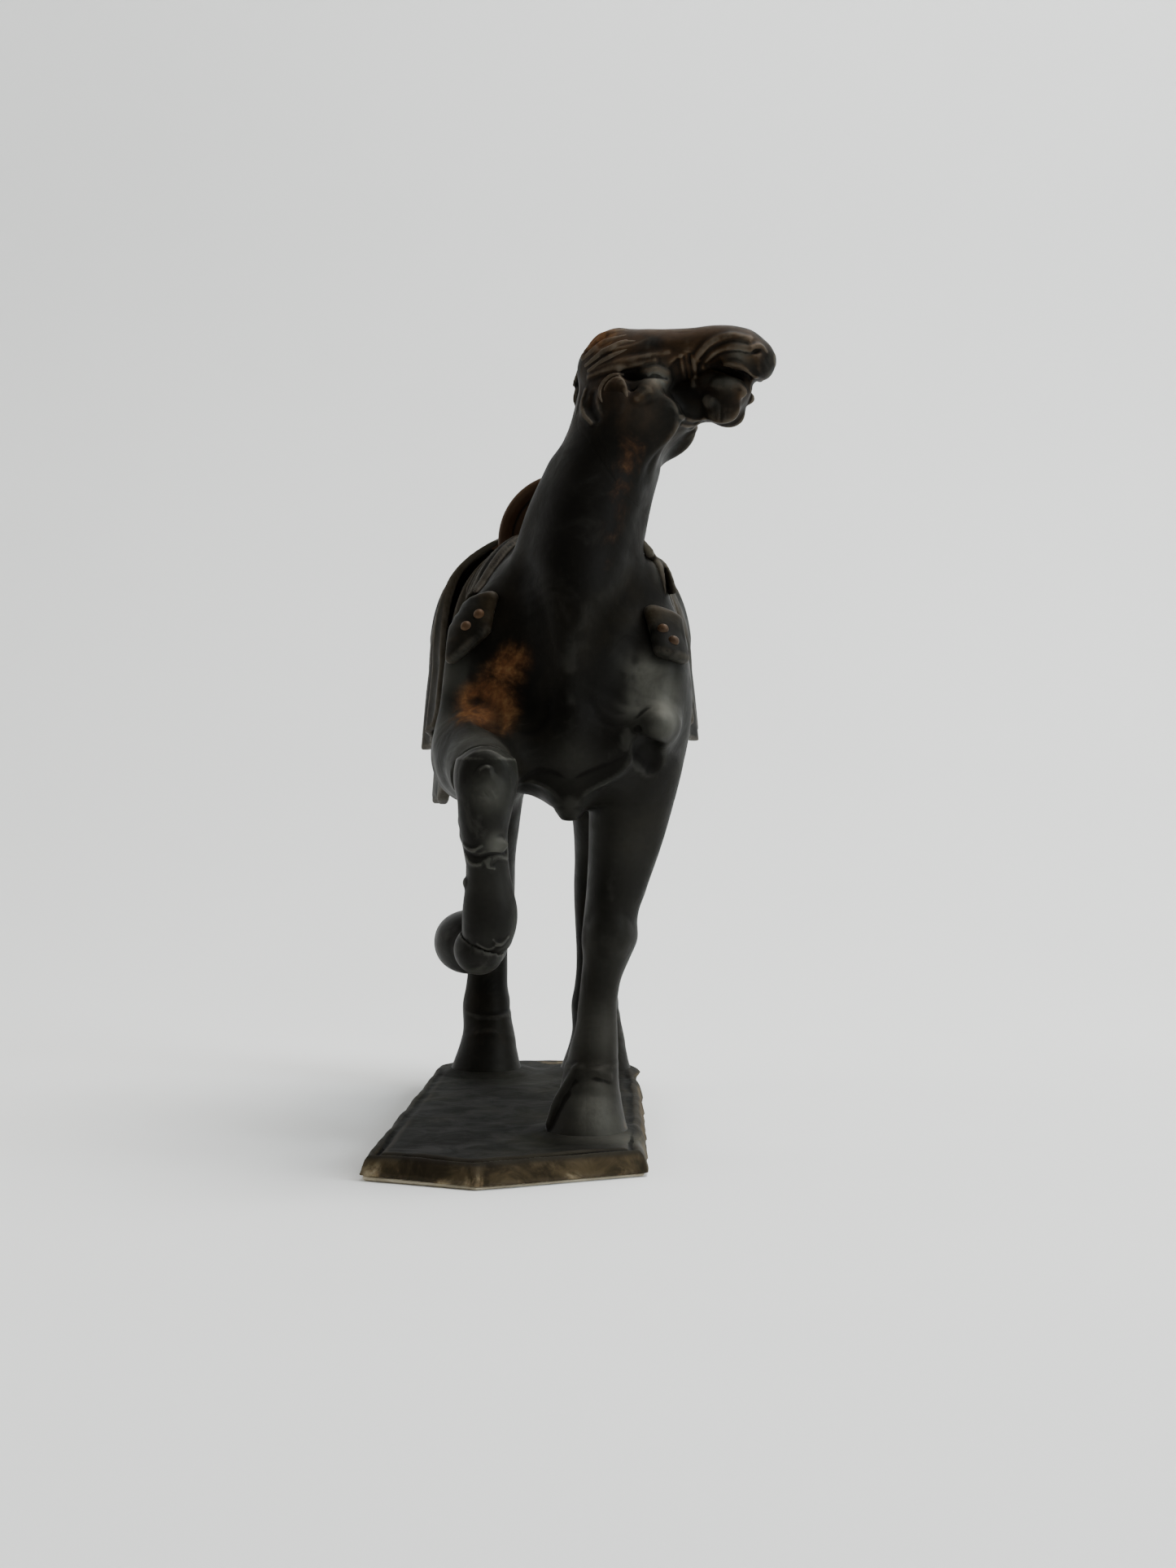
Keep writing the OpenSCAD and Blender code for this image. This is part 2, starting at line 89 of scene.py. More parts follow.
class Clay:
    """A block of clay on a grid: negative inside, positive outside."""

    def __init__(self, low, high, voxel):
        self.voxel = voxel * COARSER
        first = np.floor(np.array(low) / self.voxel)
        last = np.ceil(np.array(high) / self.voxel)
        self.axes = [np.arange(a, b + 1, dtype=np.float32) * np.float32(self.voxel)
                     for a, b in zip(first, last)]
        self.field = np.full([len(a) for a in self.axes], FAR, np.float32)
        self.seam = None

    def window(self, low, high):
        """The part of the grid between two corners."""
        return tuple(slice(*np.searchsorted(axis, (a, b))) for axis, a, b in zip(self.axes, low, high))

    def part(self, low=(-math.inf,) * 3, high=(math.inf,) * 3):
        """A block cut from this one, on the same grid."""
        cuts = self.window(low, high)
        other = object.__new__(Clay)
        other.voxel, other.seam = self.voxel, self.seam
        other.axes = [axis[cut] for axis, cut in zip(self.axes, cuts)]
        other.field = self.field[cuts].copy()
        return other

    def grid(self, cuts=(slice(None),) * 3):
        x, y, z = (axis[cut] for axis, cut in zip(self.axes, cuts))
        return x[:, None, None], y[None, :, None], z[None, None, :]

    def shaped(self, shape, blend, sign):
        cuts = self.window(shape.low - REACH - blend, shape.high + REACH + blend)
        distance = shape.distance(*self.grid(cuts))
        self.field[cuts] = sign * smooth_min(sign * self.field[cuts], distance, blend)

    def add(self, shape, blend=0.0):
        self.shaped(shape, blend, 1)

    def carve(self, shape, blend=0.0):
        self.shaped(shape, blend, -1)

    def keep(self, distance):
        """Cuts away what lies outside a distance function."""
        self.field = np.maximum(self.field, distance(*self.grid())).astype(np.float32)

    def value(self, p):
        """The field at a point, between grid points."""
        index = []
        weight = []
        for axis, c in zip(self.axes, p):
            t = (c - axis[0]) / self.voxel
            i = int(min(max(math.floor(t), 0), len(axis) - 2))
            index.append(i)
            weight.append(min(max(t - i, 0.0), 1.0))
        i, j, k = index
        cell = self.field[i:i + 2, j:j + 2, k:k + 2]
        for w in weight:
            cell = cell[0] * (1 - w) + cell[1] * w
        return float(cell)

    def surface(self, start, direction, depth=60.0):
        """The first point on the surface from start along a direction, or the nearest miss."""
        start = np.array(start, float)
        direction = np.array(direction, float)
        direction /= np.linalg.norm(direction)
        step = self.voxel * 0.5
        before = self.value(start)
        nearest, nearest_value = start, before
        for n in range(1, int(depth / step)):
            now = self.value(start + direction * n * step)
            if now <= 0:
                share = before / (before - now) if before > now else 0.0
                return start + direction * step * (n - 1 + share)
            if now < nearest_value:
                nearest, nearest_value = start + direction * n * step, now
            before = now
        return nearest


# ---------- shapes ----------

def ellipsoid(centre, radii, turn=(0, 0, 0)):
    """An ellipsoid turned by angles in degrees about X, Y and Z."""
    centre = np.array(centre, float)
    radii = np.array(radii, float)
    axes = np.array(Euler([math.radians(a) for a in turn]).to_matrix()).T
    size = np.sqrt(((axes * radii[:, None]) ** 2).sum(0))

    def distance(x, y, z):
        d = (x - centre[0], y - centre[1], z - centre[2])
        local = [sum(axis[i] * d[i] for i in range(3)) for axis in axes]
        near = np.sqrt(sum((c / r) ** 2 for c, r in zip(local, radii)))
        slope = np.sqrt(sum((c / r ** 2) ** 2 for c, r in zip(local, radii))) + 1e-6
        return near * (near - 1) / slope

    return Shape(centre - size, centre + size, distance)


def smooth_table(rows, samples=160):
    """Samples of a smooth curve through rows whose first number is the position."""
    rows = np.array(sorted(rows), float)
    t, values = rows[:, 0], rows[:, 1:]
    slope = np.gradient(values, t, axis=0)
    fine = np.linspace(t[0], t[-1], samples)
    i = np.clip(np.searchsorted(t, fine, side="right") - 1, 0, len(t) - 2)
    span = t[i + 1] - t[i]
    u = ((fine - t[i]) / span)[:, None]
    span = span[:, None]
    out = ((2 * u ** 3 - 3 * u ** 2 + 1) * values[i] + (u ** 3 - 2 * u ** 2 + u) * span * slope[i]
           + (3 * u ** 2 - 2 * u ** 3) * values[i + 1] + (u ** 3 - u ** 2) * span * slope[i + 1])
    return fine, out


def limb(along, rows, power=2.1):
    """A solid along an axis (0, 1 or 2) through oval sections.

    Each row is (position, centre and centre, half size and half size) on the other two axes.
    """
    others = [a for a in range(3) if a != along]
    fine, table = smooth_table(rows)
    first, last = fine[0], fine[-1]
    low = np.empty(3)
    high = np.empty(3)
    low[along], high[along] = first, last
    for n, axis in enumerate(others):
        low[axis] = (table[:, n] - table[:, n + 2]).min()
        high[axis] = (table[:, n] + table[:, n + 2]).max()

    def distance(*p):
        t = p[along]
        c0, c1, r0, r1 = (np.interp(t, fine, column).astype(np.float32) for column in table.T)
        r0, r1 = np.maximum(r0, THINNEST), np.maximum(r1, THINNEST)
        a = np.abs((p[others[0]] - c0) / r0)
        b = np.abs((p[others[1]] - c1) / r1)
        near = (a ** power + b ** power) ** (1 / power)
        slope = np.sqrt((a / r0) ** 2 + (b / r1) ** 2) / np.maximum(np.sqrt(a * a + b * b), 1e-4)
        side = (near - 1) / np.maximum(slope, 1e-4)
        beyond = np.maximum(first - t, t - last)
        return np.maximum(side, beyond)

    return Shape(low, high, distance)


def posed(shape, origin, turn):
    """A shape made round the origin, turned by a 3 x 3 matrix and moved to a point."""
    origin = np.array(origin, float)
    turn = np.array(turn, float)
    corners = np.array([[(shape.low, shape.high)[n >> i & 1][i] for i in range(3)] for n in range(8)])
    corners = corners @ turn.T + origin

    def distance(x, y, z):
        d = (x - origin[0], y - origin[1], z - origin[2])
        return shape.distance(*(sum(turn[i][n] * d[i] for i in range(3)) for n in range(3)))

    return Shape(corners.min(0), corners.max(0), distance)


def along_line(start, end):
    """A turn whose third axis points from start to end."""
    third = np.array(end, float) - np.array(start, float)
    third /= np.linalg.norm(third)
    guide = np.array([1.0, 0, 0]) if abs(third[0]) < 0.9 else np.array([0, 1.0, 0])
    second = np.cross(third, guide)
    second /= np.linalg.norm(second)
    first = np.cross(second, third)
    return np.array([first, second, third]).T


def smooth_path(points, samples):
    """Samples of a smooth curve through points; two points stay a straight line."""
    points = np.array(points, float)
    if len(points) == 2:
        return points
    steps = np.linalg.norm(np.diff(points, axis=0), axis=1)
    t = np.concatenate([[0], np.cumsum(steps)])
    return smooth_table([(a, *p) for a, p in zip(t, points)], samples)[1]


def strand(points, radii, samples=14):
    """A round strand along a smooth path; radii run from its start to its end."""
    path = smooth_path(points, samples)
    radii = np.interp(np.linspace(0, 1, len(path)), np.linspace(0, 1, len(radii)), radii)
    thick = max(radii)

    def distance(x, y, z):
        best = np.float32(FAR)
        for a, b, ra, rb in zip(path[:-1], path[1:], radii[:-1], radii[1:]):
            d = b - a
            px, py, pz = x - a[0], y - a[1], z - a[2]
            t = np.clip((px * d[0] + py * d[1] + pz * d[2]) / max(d @ d, 1e-9), 0, 1)
            gap = np.sqrt((px - t * d[0]) ** 2 + (py - t * d[1]) ** 2 + (pz - t * d[2]) ** 2)
            best = np.minimum(best, gap - (ra + (rb - ra) * t))
        return best

    return Shape(path.min(0) - thick, path.max(0) + thick, distance)


def half_space(point, normal):
    """The distance in front of a plane; what lies behind it is kept."""
    point = np.array(point, float)
    normal = np.array(normal, float) / np.linalg.norm(normal)

    def distance(x, y, z):
        return (x - point[0]) * normal[0] + (y - point[1]) * normal[1] + (z - point[2]) * normal[2]

    return distance


def noise_field(x, y, z, size, seed):
    """Smooth, cheap noise between -1 and 1 with features of a given size in mm."""
    rng = np.random.default_rng(seed)
    total = np.float32(0)
    for n in range(5):
        wave = rng.normal(size=3)
        wave *= 2 * math.pi / (size * (0.6 + 0.25 * n)) / np.linalg.norm(wave)
        total = total + np.sin(x * wave[0] + y * wave[1] + z * wave[2] + rng.uniform(0, 6.3))
    return total / 3


# ---------- meshes ----------

def neighbours(count, quads):
    edges = np.concatenate([quads[:, [i, (i + 1) % 4]] for i in range(4)])
    degree = np.bincount(edges[:, 0], minlength=count) + np.bincount(edges[:, 1], minlength=count)
    return edges, np.maximum(degree, 1)


def averaged(values, edges, degree):
    out = np.empty_like(values)
    for n in range(values.shape[1]):
        column = values[:, n]
        out[:, n] = (np.bincount(edges[:, 0], weights=column[edges[:, 1]], minlength=len(values))
                     + np.bincount(edges[:, 1], weights=column[edges[:, 0]], minlength=len(values)))
    return out / degree[:, None]


def vertex_normals(points, quads):
    a, b, c, d = (points[quads[:, i]] for i in range(4))
    normal = np.cross(c - a, d - b)
    out = np.zeros_like(points)
    for i in range(4):
        for n in range(3):
            out[:, n] += np.bincount(quads[:, i], weights=normal[:, n], minlength=len(points))
    return out / np.maximum(np.linalg.norm(out, axis=1, keepdims=True), 1e-12)


BAND = 3.0  # the distances that are meshed, in grid steps on each side of the surface
SMOOTHING = 2  # times that the grid's steps are softened
INWARD, OUTWARD = 0.5, 0.52  # share of the way to the neighbours' average, and back from it
ROUNDS = {"ridge": 3, "mass": 24}  # rounds of averaging that a point is compared with
STANDS_OUT = {"ridge": 0.09, "mass": 0.5}  # height over that average which counts as one, in mm
SEAM_FADE = 3.0  # how far from a seam those heights are held back, in mm


def quads_of(clay):
    """The clay's surface as points in mm and quads that face outwards."""
    grid = openvdb.FloatGrid(BAND)
    grid.gridClass = openvdb.GridClass.LEVEL_SET
    grid.copyFromArray(np.clip(clay.field / clay.voxel, -BAND, BAND))
    points, quads = grid.convertToQuads()
    points = points.astype(np.float64) * clay.voxel + [axis[0] for axis in clay.axes]
    quads = quads.astype(np.int64)
    a, b, c, d = (points[quads[:, i]] for i in range(4))
    if (np.cross(c - a, d - b) * (a + b + c + d)).sum() < 0:
        quads = quads[:, ::-1]
    return points, quads


def point_values(mesh, label, values):
    attribute = mesh.attributes.new(label, "FLOAT", "POINT")
    attribute.data.foreach_set("value", values.astype(np.float32))


def mesh_clay(clay, name):
    """Meshes the clay, softens its steps and measures how convex each point is."""
    points, quads = quads_of(clay)
    edges, degree = neighbours(len(points), quads)
    for n in range(SMOOTHING):
        points += INWARD * (averaged(points, edges, degree) - points)
        points -= OUTWARD * (averaged(points, edges, degree) - points)
    mesh = bpy.data.meshes.new(name)
    mesh.vertices.add(len(points))
    mesh.vertices.foreach_set("co", (points * MM).astype(np.float32).ravel())
    mesh.loops.add(quads.size)
    mesh.loops.foreach_set("vertex_index", quads.astype(np.int32).ravel())
    mesh.polygons.add(len(quads))
    mesh.polygons.foreach_set("loop_start", np.arange(0, quads.size, 4, dtype=np.int32))
    mesh.update(calc_edges=True)
    mesh.validate()
    mesh.shade_smooth()
    normals = vertex_normals(points, quads)
    fade = 1 if clay.seam is None else np.clip(-clay.seam(*points.T) / SEAM_FADE - 0.1, 0, 1)
    soft = points
    done = 0
    for label, rounds in ROUNDS.items():
        for n in range(int((rounds - done) / COARSER ** 2) + 1):
            soft = averaged(soft, edges, degree)
        done = rounds
        height = ((points - soft) * normals).sum(1) * fade
        point_values(mesh, label, np.clip(height / STANDS_OUT[label], -1, 1))
    return mesh


def add_object(name, data):
    thing = bpy.data.objects.new(name, data)
    bpy.context.scene.collection.objects.link(thing)
    return thing


def piece(clay, name, material, slot, *nodes):
    """Turns clay into a piece that stands for CAD nodes and rides on the casting."""
    mesh = mesh_clay(clay, name)
    mesh.materials.append(material)
    thing = add_object(name, mesh)
    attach(thing, "root")
    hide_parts(*nodes)
    return thing


# ---------- the places the casting is worked out from ----------

GROUND = cad("base_slab")[1][2]
PAD_TOP = cad("base_pad")[1][2]
LEG_JOINT = cad("foreleg_left")[1][2]
POMMEL_Y = cad("saddle_pommel")[0][1]
CANTLE_Y = cad("saddle_cantle")[1][1]
BLANKET_FRONT, BLANKET_BACK = (corner[1] for corner in cad("saddle_blanket"))
SADDLE_MIDDLE = 14  # the x at which the saddle's left and right sides meet
AHEAD_Y = -112  # where lines that look for the chest and the raised leg start
EYE_POINT = np.array([23.0, -702.5, 113.5])  # where the camera of the main view stands
FOOT = {"foreleg_left": (22.6, -60), "hindleg_left": (25.8, 79.5), "hindleg_right": (-14.6, 79.5)}
MEETING_GAP = 0.05  # between castings that meet without a seam of clay
POLL = np.array([20.0, -55.0, 0.0])
HEAD_YAW = math.radians(74)
ALONG_FACE = np.array([math.sin(HEAD_YAW), -math.cos(HEAD_YAW), 0])
TO_RIGHT_CHEEK = np.array([-math.cos(HEAD_YAW), -math.sin(HEAD_YAW), 0])
HEAD_TURN = np.array([ALONG_FACE, TO_RIGHT_CHEEK, [0, 0, 1]]).T


def axis_x(y):
    """The horse's centre plane drifts sideways a little from chest to rump."""
    return 14.5 - 0.045 * y


def face(a, s, z):
    """A point on the head: a along it from the poll, s towards its right cheek, z up."""
    return POLL + HEAD_TURN @ np.array([a, s, z], float)


def on_head(shape):
    return posed(shape, POLL, HEAD_TURN)


def from_front(clay, x, z):
    """The clay's surface at x and z, met from the front."""
    return clay.surface((x, AHEAD_Y, z), (0, 1, 0), 90)


def front_strand(clay, marks, sink, radii):
    """A strand on the clay's front through marks of x and z, some mm below the surface."""
    path = smooth_path([(x, 0, z) for x, z in marks], 12)
    return strand([from_front(clay, x, z) + (0, sink, 0) for x, _, z in path], radii)


# ---------- the horse's body ----------

def barrel():
    """The trunk through rows of y, its top and bottom and its half width."""
    rows = [(-78, 168, 114, 17), (-70, 180, 111, 27), (-50, 190, 110.4, 31), (-30, 193, 110, 33.5),
            (-10, 191.5, 110, 35.5), (10, 191, 110.5, 37.4), (30, 193.5, 111.5, 39),
            (50, 199, 112.5, 40), (70, 203.5, 114, 40), (85, 201, 117, 37), (95, 193, 122, 31),
            (103, 180, 130, 21), (108, 165, 142, 9)]
    return limb(1, [(y, axis_x(y), (top + low) / 2, half, (top - low) / 2)
                    for y, top, low, half in rows], 2.3)


def neck_column():
    rows = [(104, 17.6, -66, 3, 9), (112, 17.7, -62, 9, 17), (122, 17.8, -60, 14, 21),
            (135, 18, -60, 18, 25), (150, 18.2, -62, 20.3, 26), (168, 18.2, -62, 19.9, 26),
            (181, 19.6, -62, 18.3, 24), (190, 21.8, -62, 17.8, 22), (199, 24.2, -62, 17.2, 20),
            (208, 27.4, -61, 16.6, 18.5), (221, 32, -60, 15, 17), (233, 33.2, -58, 13, 15),
            (242, 33, -57, 10, 12)]
    return limb(2, rows, 2.0)


def add_neck(clay):
    clay.add(neck_column(), 5)
    right = [(39.2, -60, 208), (35, -64, 190), (33.4, -68, 170), (31, -72, 154)]
    left = [(15.4, -62, 208), (7, -66, 188), (3, -67, 168), (4, -66, 154)]
    for edge in (right, left):
        clay.add(strand(edge, (2.6, 3, 2.6, 0.8)), 7)


def add_chest(clay):
    clay.add(ellipsoid((18.4, -71, 127), (21.4, 14, 14)), 14)
    clay.add(ellipsoid((17.6, -75.5, 108.5), (4.6, 5, 5)), 6)


def add_shoulders(clay):
    """A broad plane over the left shoulder ends in a knob; the right one swings the leg up."""
    clay.add(ellipsoid((40, -55, 146), (13.6, 22, 24), (12, 8, 0)), 6)
    clay.add(ellipsoid((42, -67, 142), (10.5, 12.6, 15), (24, 0, -8)), 6)
    clay.add(ellipsoid((43.5, -76, 131), (7, 7, 6)), 5)
    clay.add(ellipsoid((40.4, -57, 172), (6.4, 9, 10)), 5)
    clay.add(ellipsoid((-3, -52, 145), (14, 21, 24), (12, -8, 0)), 7)
    clay.add(strand([(-7, -62, 166), (-13.5, -65, 156), (-15.5, -67, 143), (-15, -70, 130),
                     (-12, -76, 121)], (4.6, 5, 5.2, 6, 8), 18), 5)


def carve_shoulders(clay):
    """Valleys between the neck and the shoulders, and the knob with its dark hollow."""
    for marks in ([(40, 166), (38, 157), (34, 147), (30, 138), (27, 131)],
                  [(-1.5, 172), (-1.6, 160), (1.4, 147), (5, 136), (8.4, 129)]):
        clay.carve(front_strand(clay, marks, -9, (8, 10.8, 11.2, 10.4, 8)), 8)
    clay.carve(front_strand(clay, [(38, 128.6), (40, 124.4), (43, 119.4)], -1, (2.4, 4.8, 3)), 2.4)
    knob = from_front(clay, 43.6, 131)
    clay.add(ellipsoid(knob + (0, 1.8, 0), (4.2, 4, 4.2)), 2.4)
    clay.carve(ellipsoid((-5, -84, 142), (6, 5.4, 13), (0, -6, 0)), 5)


STANDING = [
    (162, 37, -48, 5, 9), (154, 36.4, -49, 12, 18), (144, 37.6, -51, 15.4, 21.4),
    (130, 38.4, -54, 15.6, 20), (115, 37.2, -54, 13.8, 17), (104, 35.6, -53, 12.3, 14.5),
    (92, 33.7, -52, 10.6, 12),
    (80, 31.3, -52, 8.9, 10), (72, 29.9, -53, 8.3, 9.2), (66, 29.6, -54, 8.6, 9.6),
    (60, 28.6, -53.5, 7.2, 8.2), (54, 27.1, -53, 6.2, 7.2), (46, 26, -53, 6, 6.8),
    (39, 25.6, -53.5, 6.4, 7.4), (31, 24.6, -55, 7.6, 9.2), (26, 24, -57, 7.6, 8.8), (21, 23.6, -58, 7, 8)]


def add_standing_foreleg(clay):
    clay.add(limb(2, STANDING), 6)
    clay.add(ellipsoid((29.7, -60.5, 68.5), (5.2, 3.6, 6)), 3)
    clay.add(strand([(34, -62, 114), (32, -60, 96), (30, -58.6, 80)], (4, 3, 2)), 8)
    clay.add(strand([(45, -60, 118), (41.6, -57, 100), (36.4, -55, 82)], (3.4, 2.8, 1.6)), 6)
    clay.add(strand([(27.5, -47, 62), (26.5, -46.5, 48), (25.6, -47, 36)], (1.6, 1.5, 2)), 2.5)
    clay.add(ellipsoid((24.6, -48, 32), (4.5, 4, 4.5)), 3)
    hoof(clay, FOOT["foreleg_left"], 11.2, 14.2, 25.5)
    for marks, sink, radii in (([(20, 28), (17.6, 23.4), (14.6, 17.4), (12, 11)], 0.9, (1, 1.9, 2.4, 1.9)),
                               ([(20.6, 25.4), (24.6, 26.8), (29.4, 25.4)], 0.4, (0.5, 1, 0.6))):
        clay.add(front_strand(clay, marks, sink, radii), 1.4)


def hoof(clay, foot, across, length, top):
    """A hoof that stands on the base, flared to the front, with a soft coronet and heel bulbs."""
    x, y = foot
    rows = [(top + 2, x + 1.2, y + 2.6, 7.4, 9),
            (top - 3, x + 1, y + 2, across - 2.6, length - 4.2),
            (GROUND + 7, x + 0.4, y + 0.6, across - 0.6, length - 1.4),
            (GROUND + 1.2, x, y, across + 1.2, length + 0.9),
            (GROUND - 1.2, x, y, across + 2.2, length + 2)]
    clay.add(limb(2, rows, 2.15), 3)
    coronet = [(x + 1 + (across - 3.9) * math.cos(t), y + 2 - (length - 5) * math.sin(t),
                top - 7.5 + 4.2 * math.sin(t) ** 2) for t in np.linspace(-0.3, math.pi + 0.3, 14)]
    clay.add(strand(coronet, (0.7, 1, 0.7), 28), 2.4)
    for side in (-1, 1):
        clay.add(ellipsoid((x + 1 + side * 4.2, y + length - 3.5, top - 5.5), (4, 4, 5.5)), 2.5)
    clay.carve(strand([(x + 1, y + length + 1.5, top - 1), (x + 0.6, y + length + 1.2, GROUND)],
                      (1.2, 1.6)), 2)


def add_hindlegs(clay):
    for label, x, hip_x in (("hindleg_left", 26, 32), ("hindleg_right", -14.4, -11)):
        rows = [(186, hip_x, 72, 5, 9), (178, hip_x, 72, 11.6, 19), (168, hip_x, 72, 14.6, 24),
                (150, hip_x, 72, 17, 27), (128, hip_x - 1, 71, 15.5, 24),
                (110, x + 2, 71, 12, 20), (97, x + 1.8, 76, 10.2, 16), (85, x + 1.2, 84, 9.2, 12.6),
                (76, x + 0.9, 88.5, 9.2, 11.6), (70, x + 0.8, 90, 9, 11), (61, x + 0.4, 89.5, 8.2, 9.2),
                (52, x, 88, 7.4, 8.4), (45, x, 87, 7.4, 8), (38, x - 0.3, 86.2, 7.8, 8.4),
                (32, x - 0.4, 85.6, 8.8, 9.6), (27, x - 0.6, 84, 8.4, 9.2), (21, x - 0.6, 83, 7, 8)]
        clay.add(limb(2, rows), 7)
        clay.add(ellipsoid((x, 99.5, 78), (4.6, 4.4, 7)), 4)
        clay.add(strand([(x, 97.5, 70), (x, 95.5, 54), (x, 94.5, 40)], (2, 1.7, 2.2)), 3)
        clay.add(strand([(x + 2, 92, 104), (x + 1, 97, 92), (x, 99.5, 82)], (2.4, 1.9, 2)), 4)
        clay.add(ellipsoid((x, 94, 33.5), (4.6, 3.6, 4.4)), 3)
        clay.add(ellipsoid((hip_x, 52, 122), (11, 10, 16), (20, 0, 0)), 8)
        hoof(clay, FOOT[label], 11.6, 14.4, 26)


def add_rump(clay):
    for side in (-1, 1):
        clay.add(ellipsoid((11 + side * 19, 72, 168), (19, 27, 32)), 10)
        clay.add(ellipsoid((10.5 + side * 15, 92, 150), (14, 14, 26)), 8)
        clay.add(strand([(10.5 + side * 12, 104, 168), (10.5 + side * 16, 103, 145),
                         (10.5 + side * 21, 97, 122)], (3, 3.6, 2.6)), 6)
    clay.carve(strand([(10, 112, 172), (10, 109, 150), (10, 101, 126), (10, 92, 114)],
                      (2.5, 3, 3, 2)), 5)
    clay.add(ellipsoid((10, 98, 176), (6, 6, 7)), 5)


def add_raised_forearm(clay):
    rows = [(-104, -6.2, 117, 6.6, 7), (-100, -6.6, 117.2, 9.2, 9.4), (-96, -7, 117.8, 10, 10.2),
            (-88, -8.2, 119.6, 10.4, 11.2), (-76, -9.6, 121.5, 12, 13.5), (-62, -10.6, 122.8, 14, 15.5),
            (-46, -8, 126, 14, 18), (-34, -4, 130, 12, 18)]
    clay.add(limb(1, rows), 6)


def body_clay():
    """The whole horse below its head, as one casting before it is parted into pieces."""
    clay = Clay((-37, -117, GROUND - 1.4), (62, 116, 246), 0.7)
    clay.add(barrel())
    for step in (add_rump, add_hindlegs, add_shoulders, add_standing_foreleg, add_raised_forearm,
                 add_chest, add_neck, carve_shoulders, add_skull):
        step(clay)
    return clay


# ---------- the head ----------

def add_skull(clay):
    """The head's main masses along a, s and z."""
    upper = limb(0, [(0.3, 0, 239.6, 0.1, 0.1), (0.5, 0, 239.6, 1.6, 1.2), (0.9, 0, 239.6, 3.4, 2.6),
                     (1.9, 0, 239.6, 5.6, 4.4), (4.6, 0, 239.2, 9, 7), (11, 0, 239.2, 11.6, 10.6),
                     (20, 0, 239.4, 11.8, 11.8), (28, 0, 240.4, 11.2, 10.4), (36, 0, 243, 9.4, 7.7),
                     (44, 0, 244.8, 8.2, 6.3), (50, 0, 243.7, 8.4, 6.7), (55, 0, 241.5, 7.8, 7.1),
                     (58, 0, 240.2, 6.2, 5.9), (60, 0, 239.9, 4, 4), (61.3, 0, 239.9, 1.5, 1.5)])
    jaw = limb(0, [(4, 0, 226, 9, 9), (12, 0, 223, 10.8, 11), (20, 0, 221.4, 11, 11),
                   (26, 0, 223.2, 9.8, 9.6), (30, 0, 226.2, 8.8, 8.8), (34, 0, 228.4, 8, 8.2),
                   (38, 0, 230.4, 7.2, 7.8), (44, 0, 230.2, 7.2, 8.2), (47.4, 0, 230.2, 6.8, 7.4),
                   (50.4, 0, 231, 5.8, 5.8), (52.6, 0, 232, 4, 3.8), (54, 0, 232.6, 1.6, 1.6)])
    clay.add(on_head(upper), 5)
    clay.add(on_head(jaw), 3)


def slot_across(marks, radii, inner):
    """A slot into both cheeks along s, as deep as inner, following marks of a and z."""
    path = smooth_path([(a, 0, z) for a, z in marks], 16)
    line = strand(path, radii, len(path))
    return Shape(line.low - [0, 14, 0], line.high + [0, 14, 0],
                 lambda a, s, z: np.maximum(line.distance(a, 0 * s, z), inner - np.abs(s)))


HEAD_DEPTH_Y = -68.0  # the plane across the head on which marks of x and z are given
IN_FRONT = 42  # how far before that plane a line of sight starts to look for the head
MISSED = 0.6  # a line of sight that stays this far off the clay has passed it


def seen(clay, x, z):
    """The clay's surface where someone in front of the horse sees the point x, z of the head,
    as a point of the head's own axes, or None where they see past it."""
    through = np.array([x, HEAD_DEPTH_Y, z])
    ray = (through - EYE_POINT) / np.linalg.norm(through - EYE_POINT)
    place = clay.surface(through - ray * IN_FRONT, ray)
    return None if clay.value(place) > MISSED else (place - POLL) @ HEAD_TURN


def fold(clay, marks, radii, blend, sink, carve=False, on=None, sides=(1, -1)):
    """A raised fold or a groove through marks of x and z seen from the front, on both cheeks.
    It follows the surface of the clay or of another one that is given."""
    path = [seen(on or clay, x, z) for x, _, z in smooth_path([(x, 0, z) for x, z in marks], 16)]
    path = np.array([p for p in path if p is not None])
    if len(path) < 2:
        return
    path[:, 1] -= sink
    for side in sides:
        line = on_head(strand(path * [1, side, 1], radii, len(path)))
        (clay.carve if carve else clay.add)(line, blend)


def bump(clay, x, z, radii, blend, sink, turn=0, carve=False, on=None, sides=(1, -1)):
    """An oval swelling or hollow at x and z seen from the front, on both cheeks."""
    place = seen(on or clay, x, z)
    if place is None:
        return
    place[1] -= sink
    for side in sides:
        oval = on_head(ellipsoid(place * [1, side, 1], radii, (0, turn, 0)))
        (clay.carve if carve else clay.add)(oval, blend)


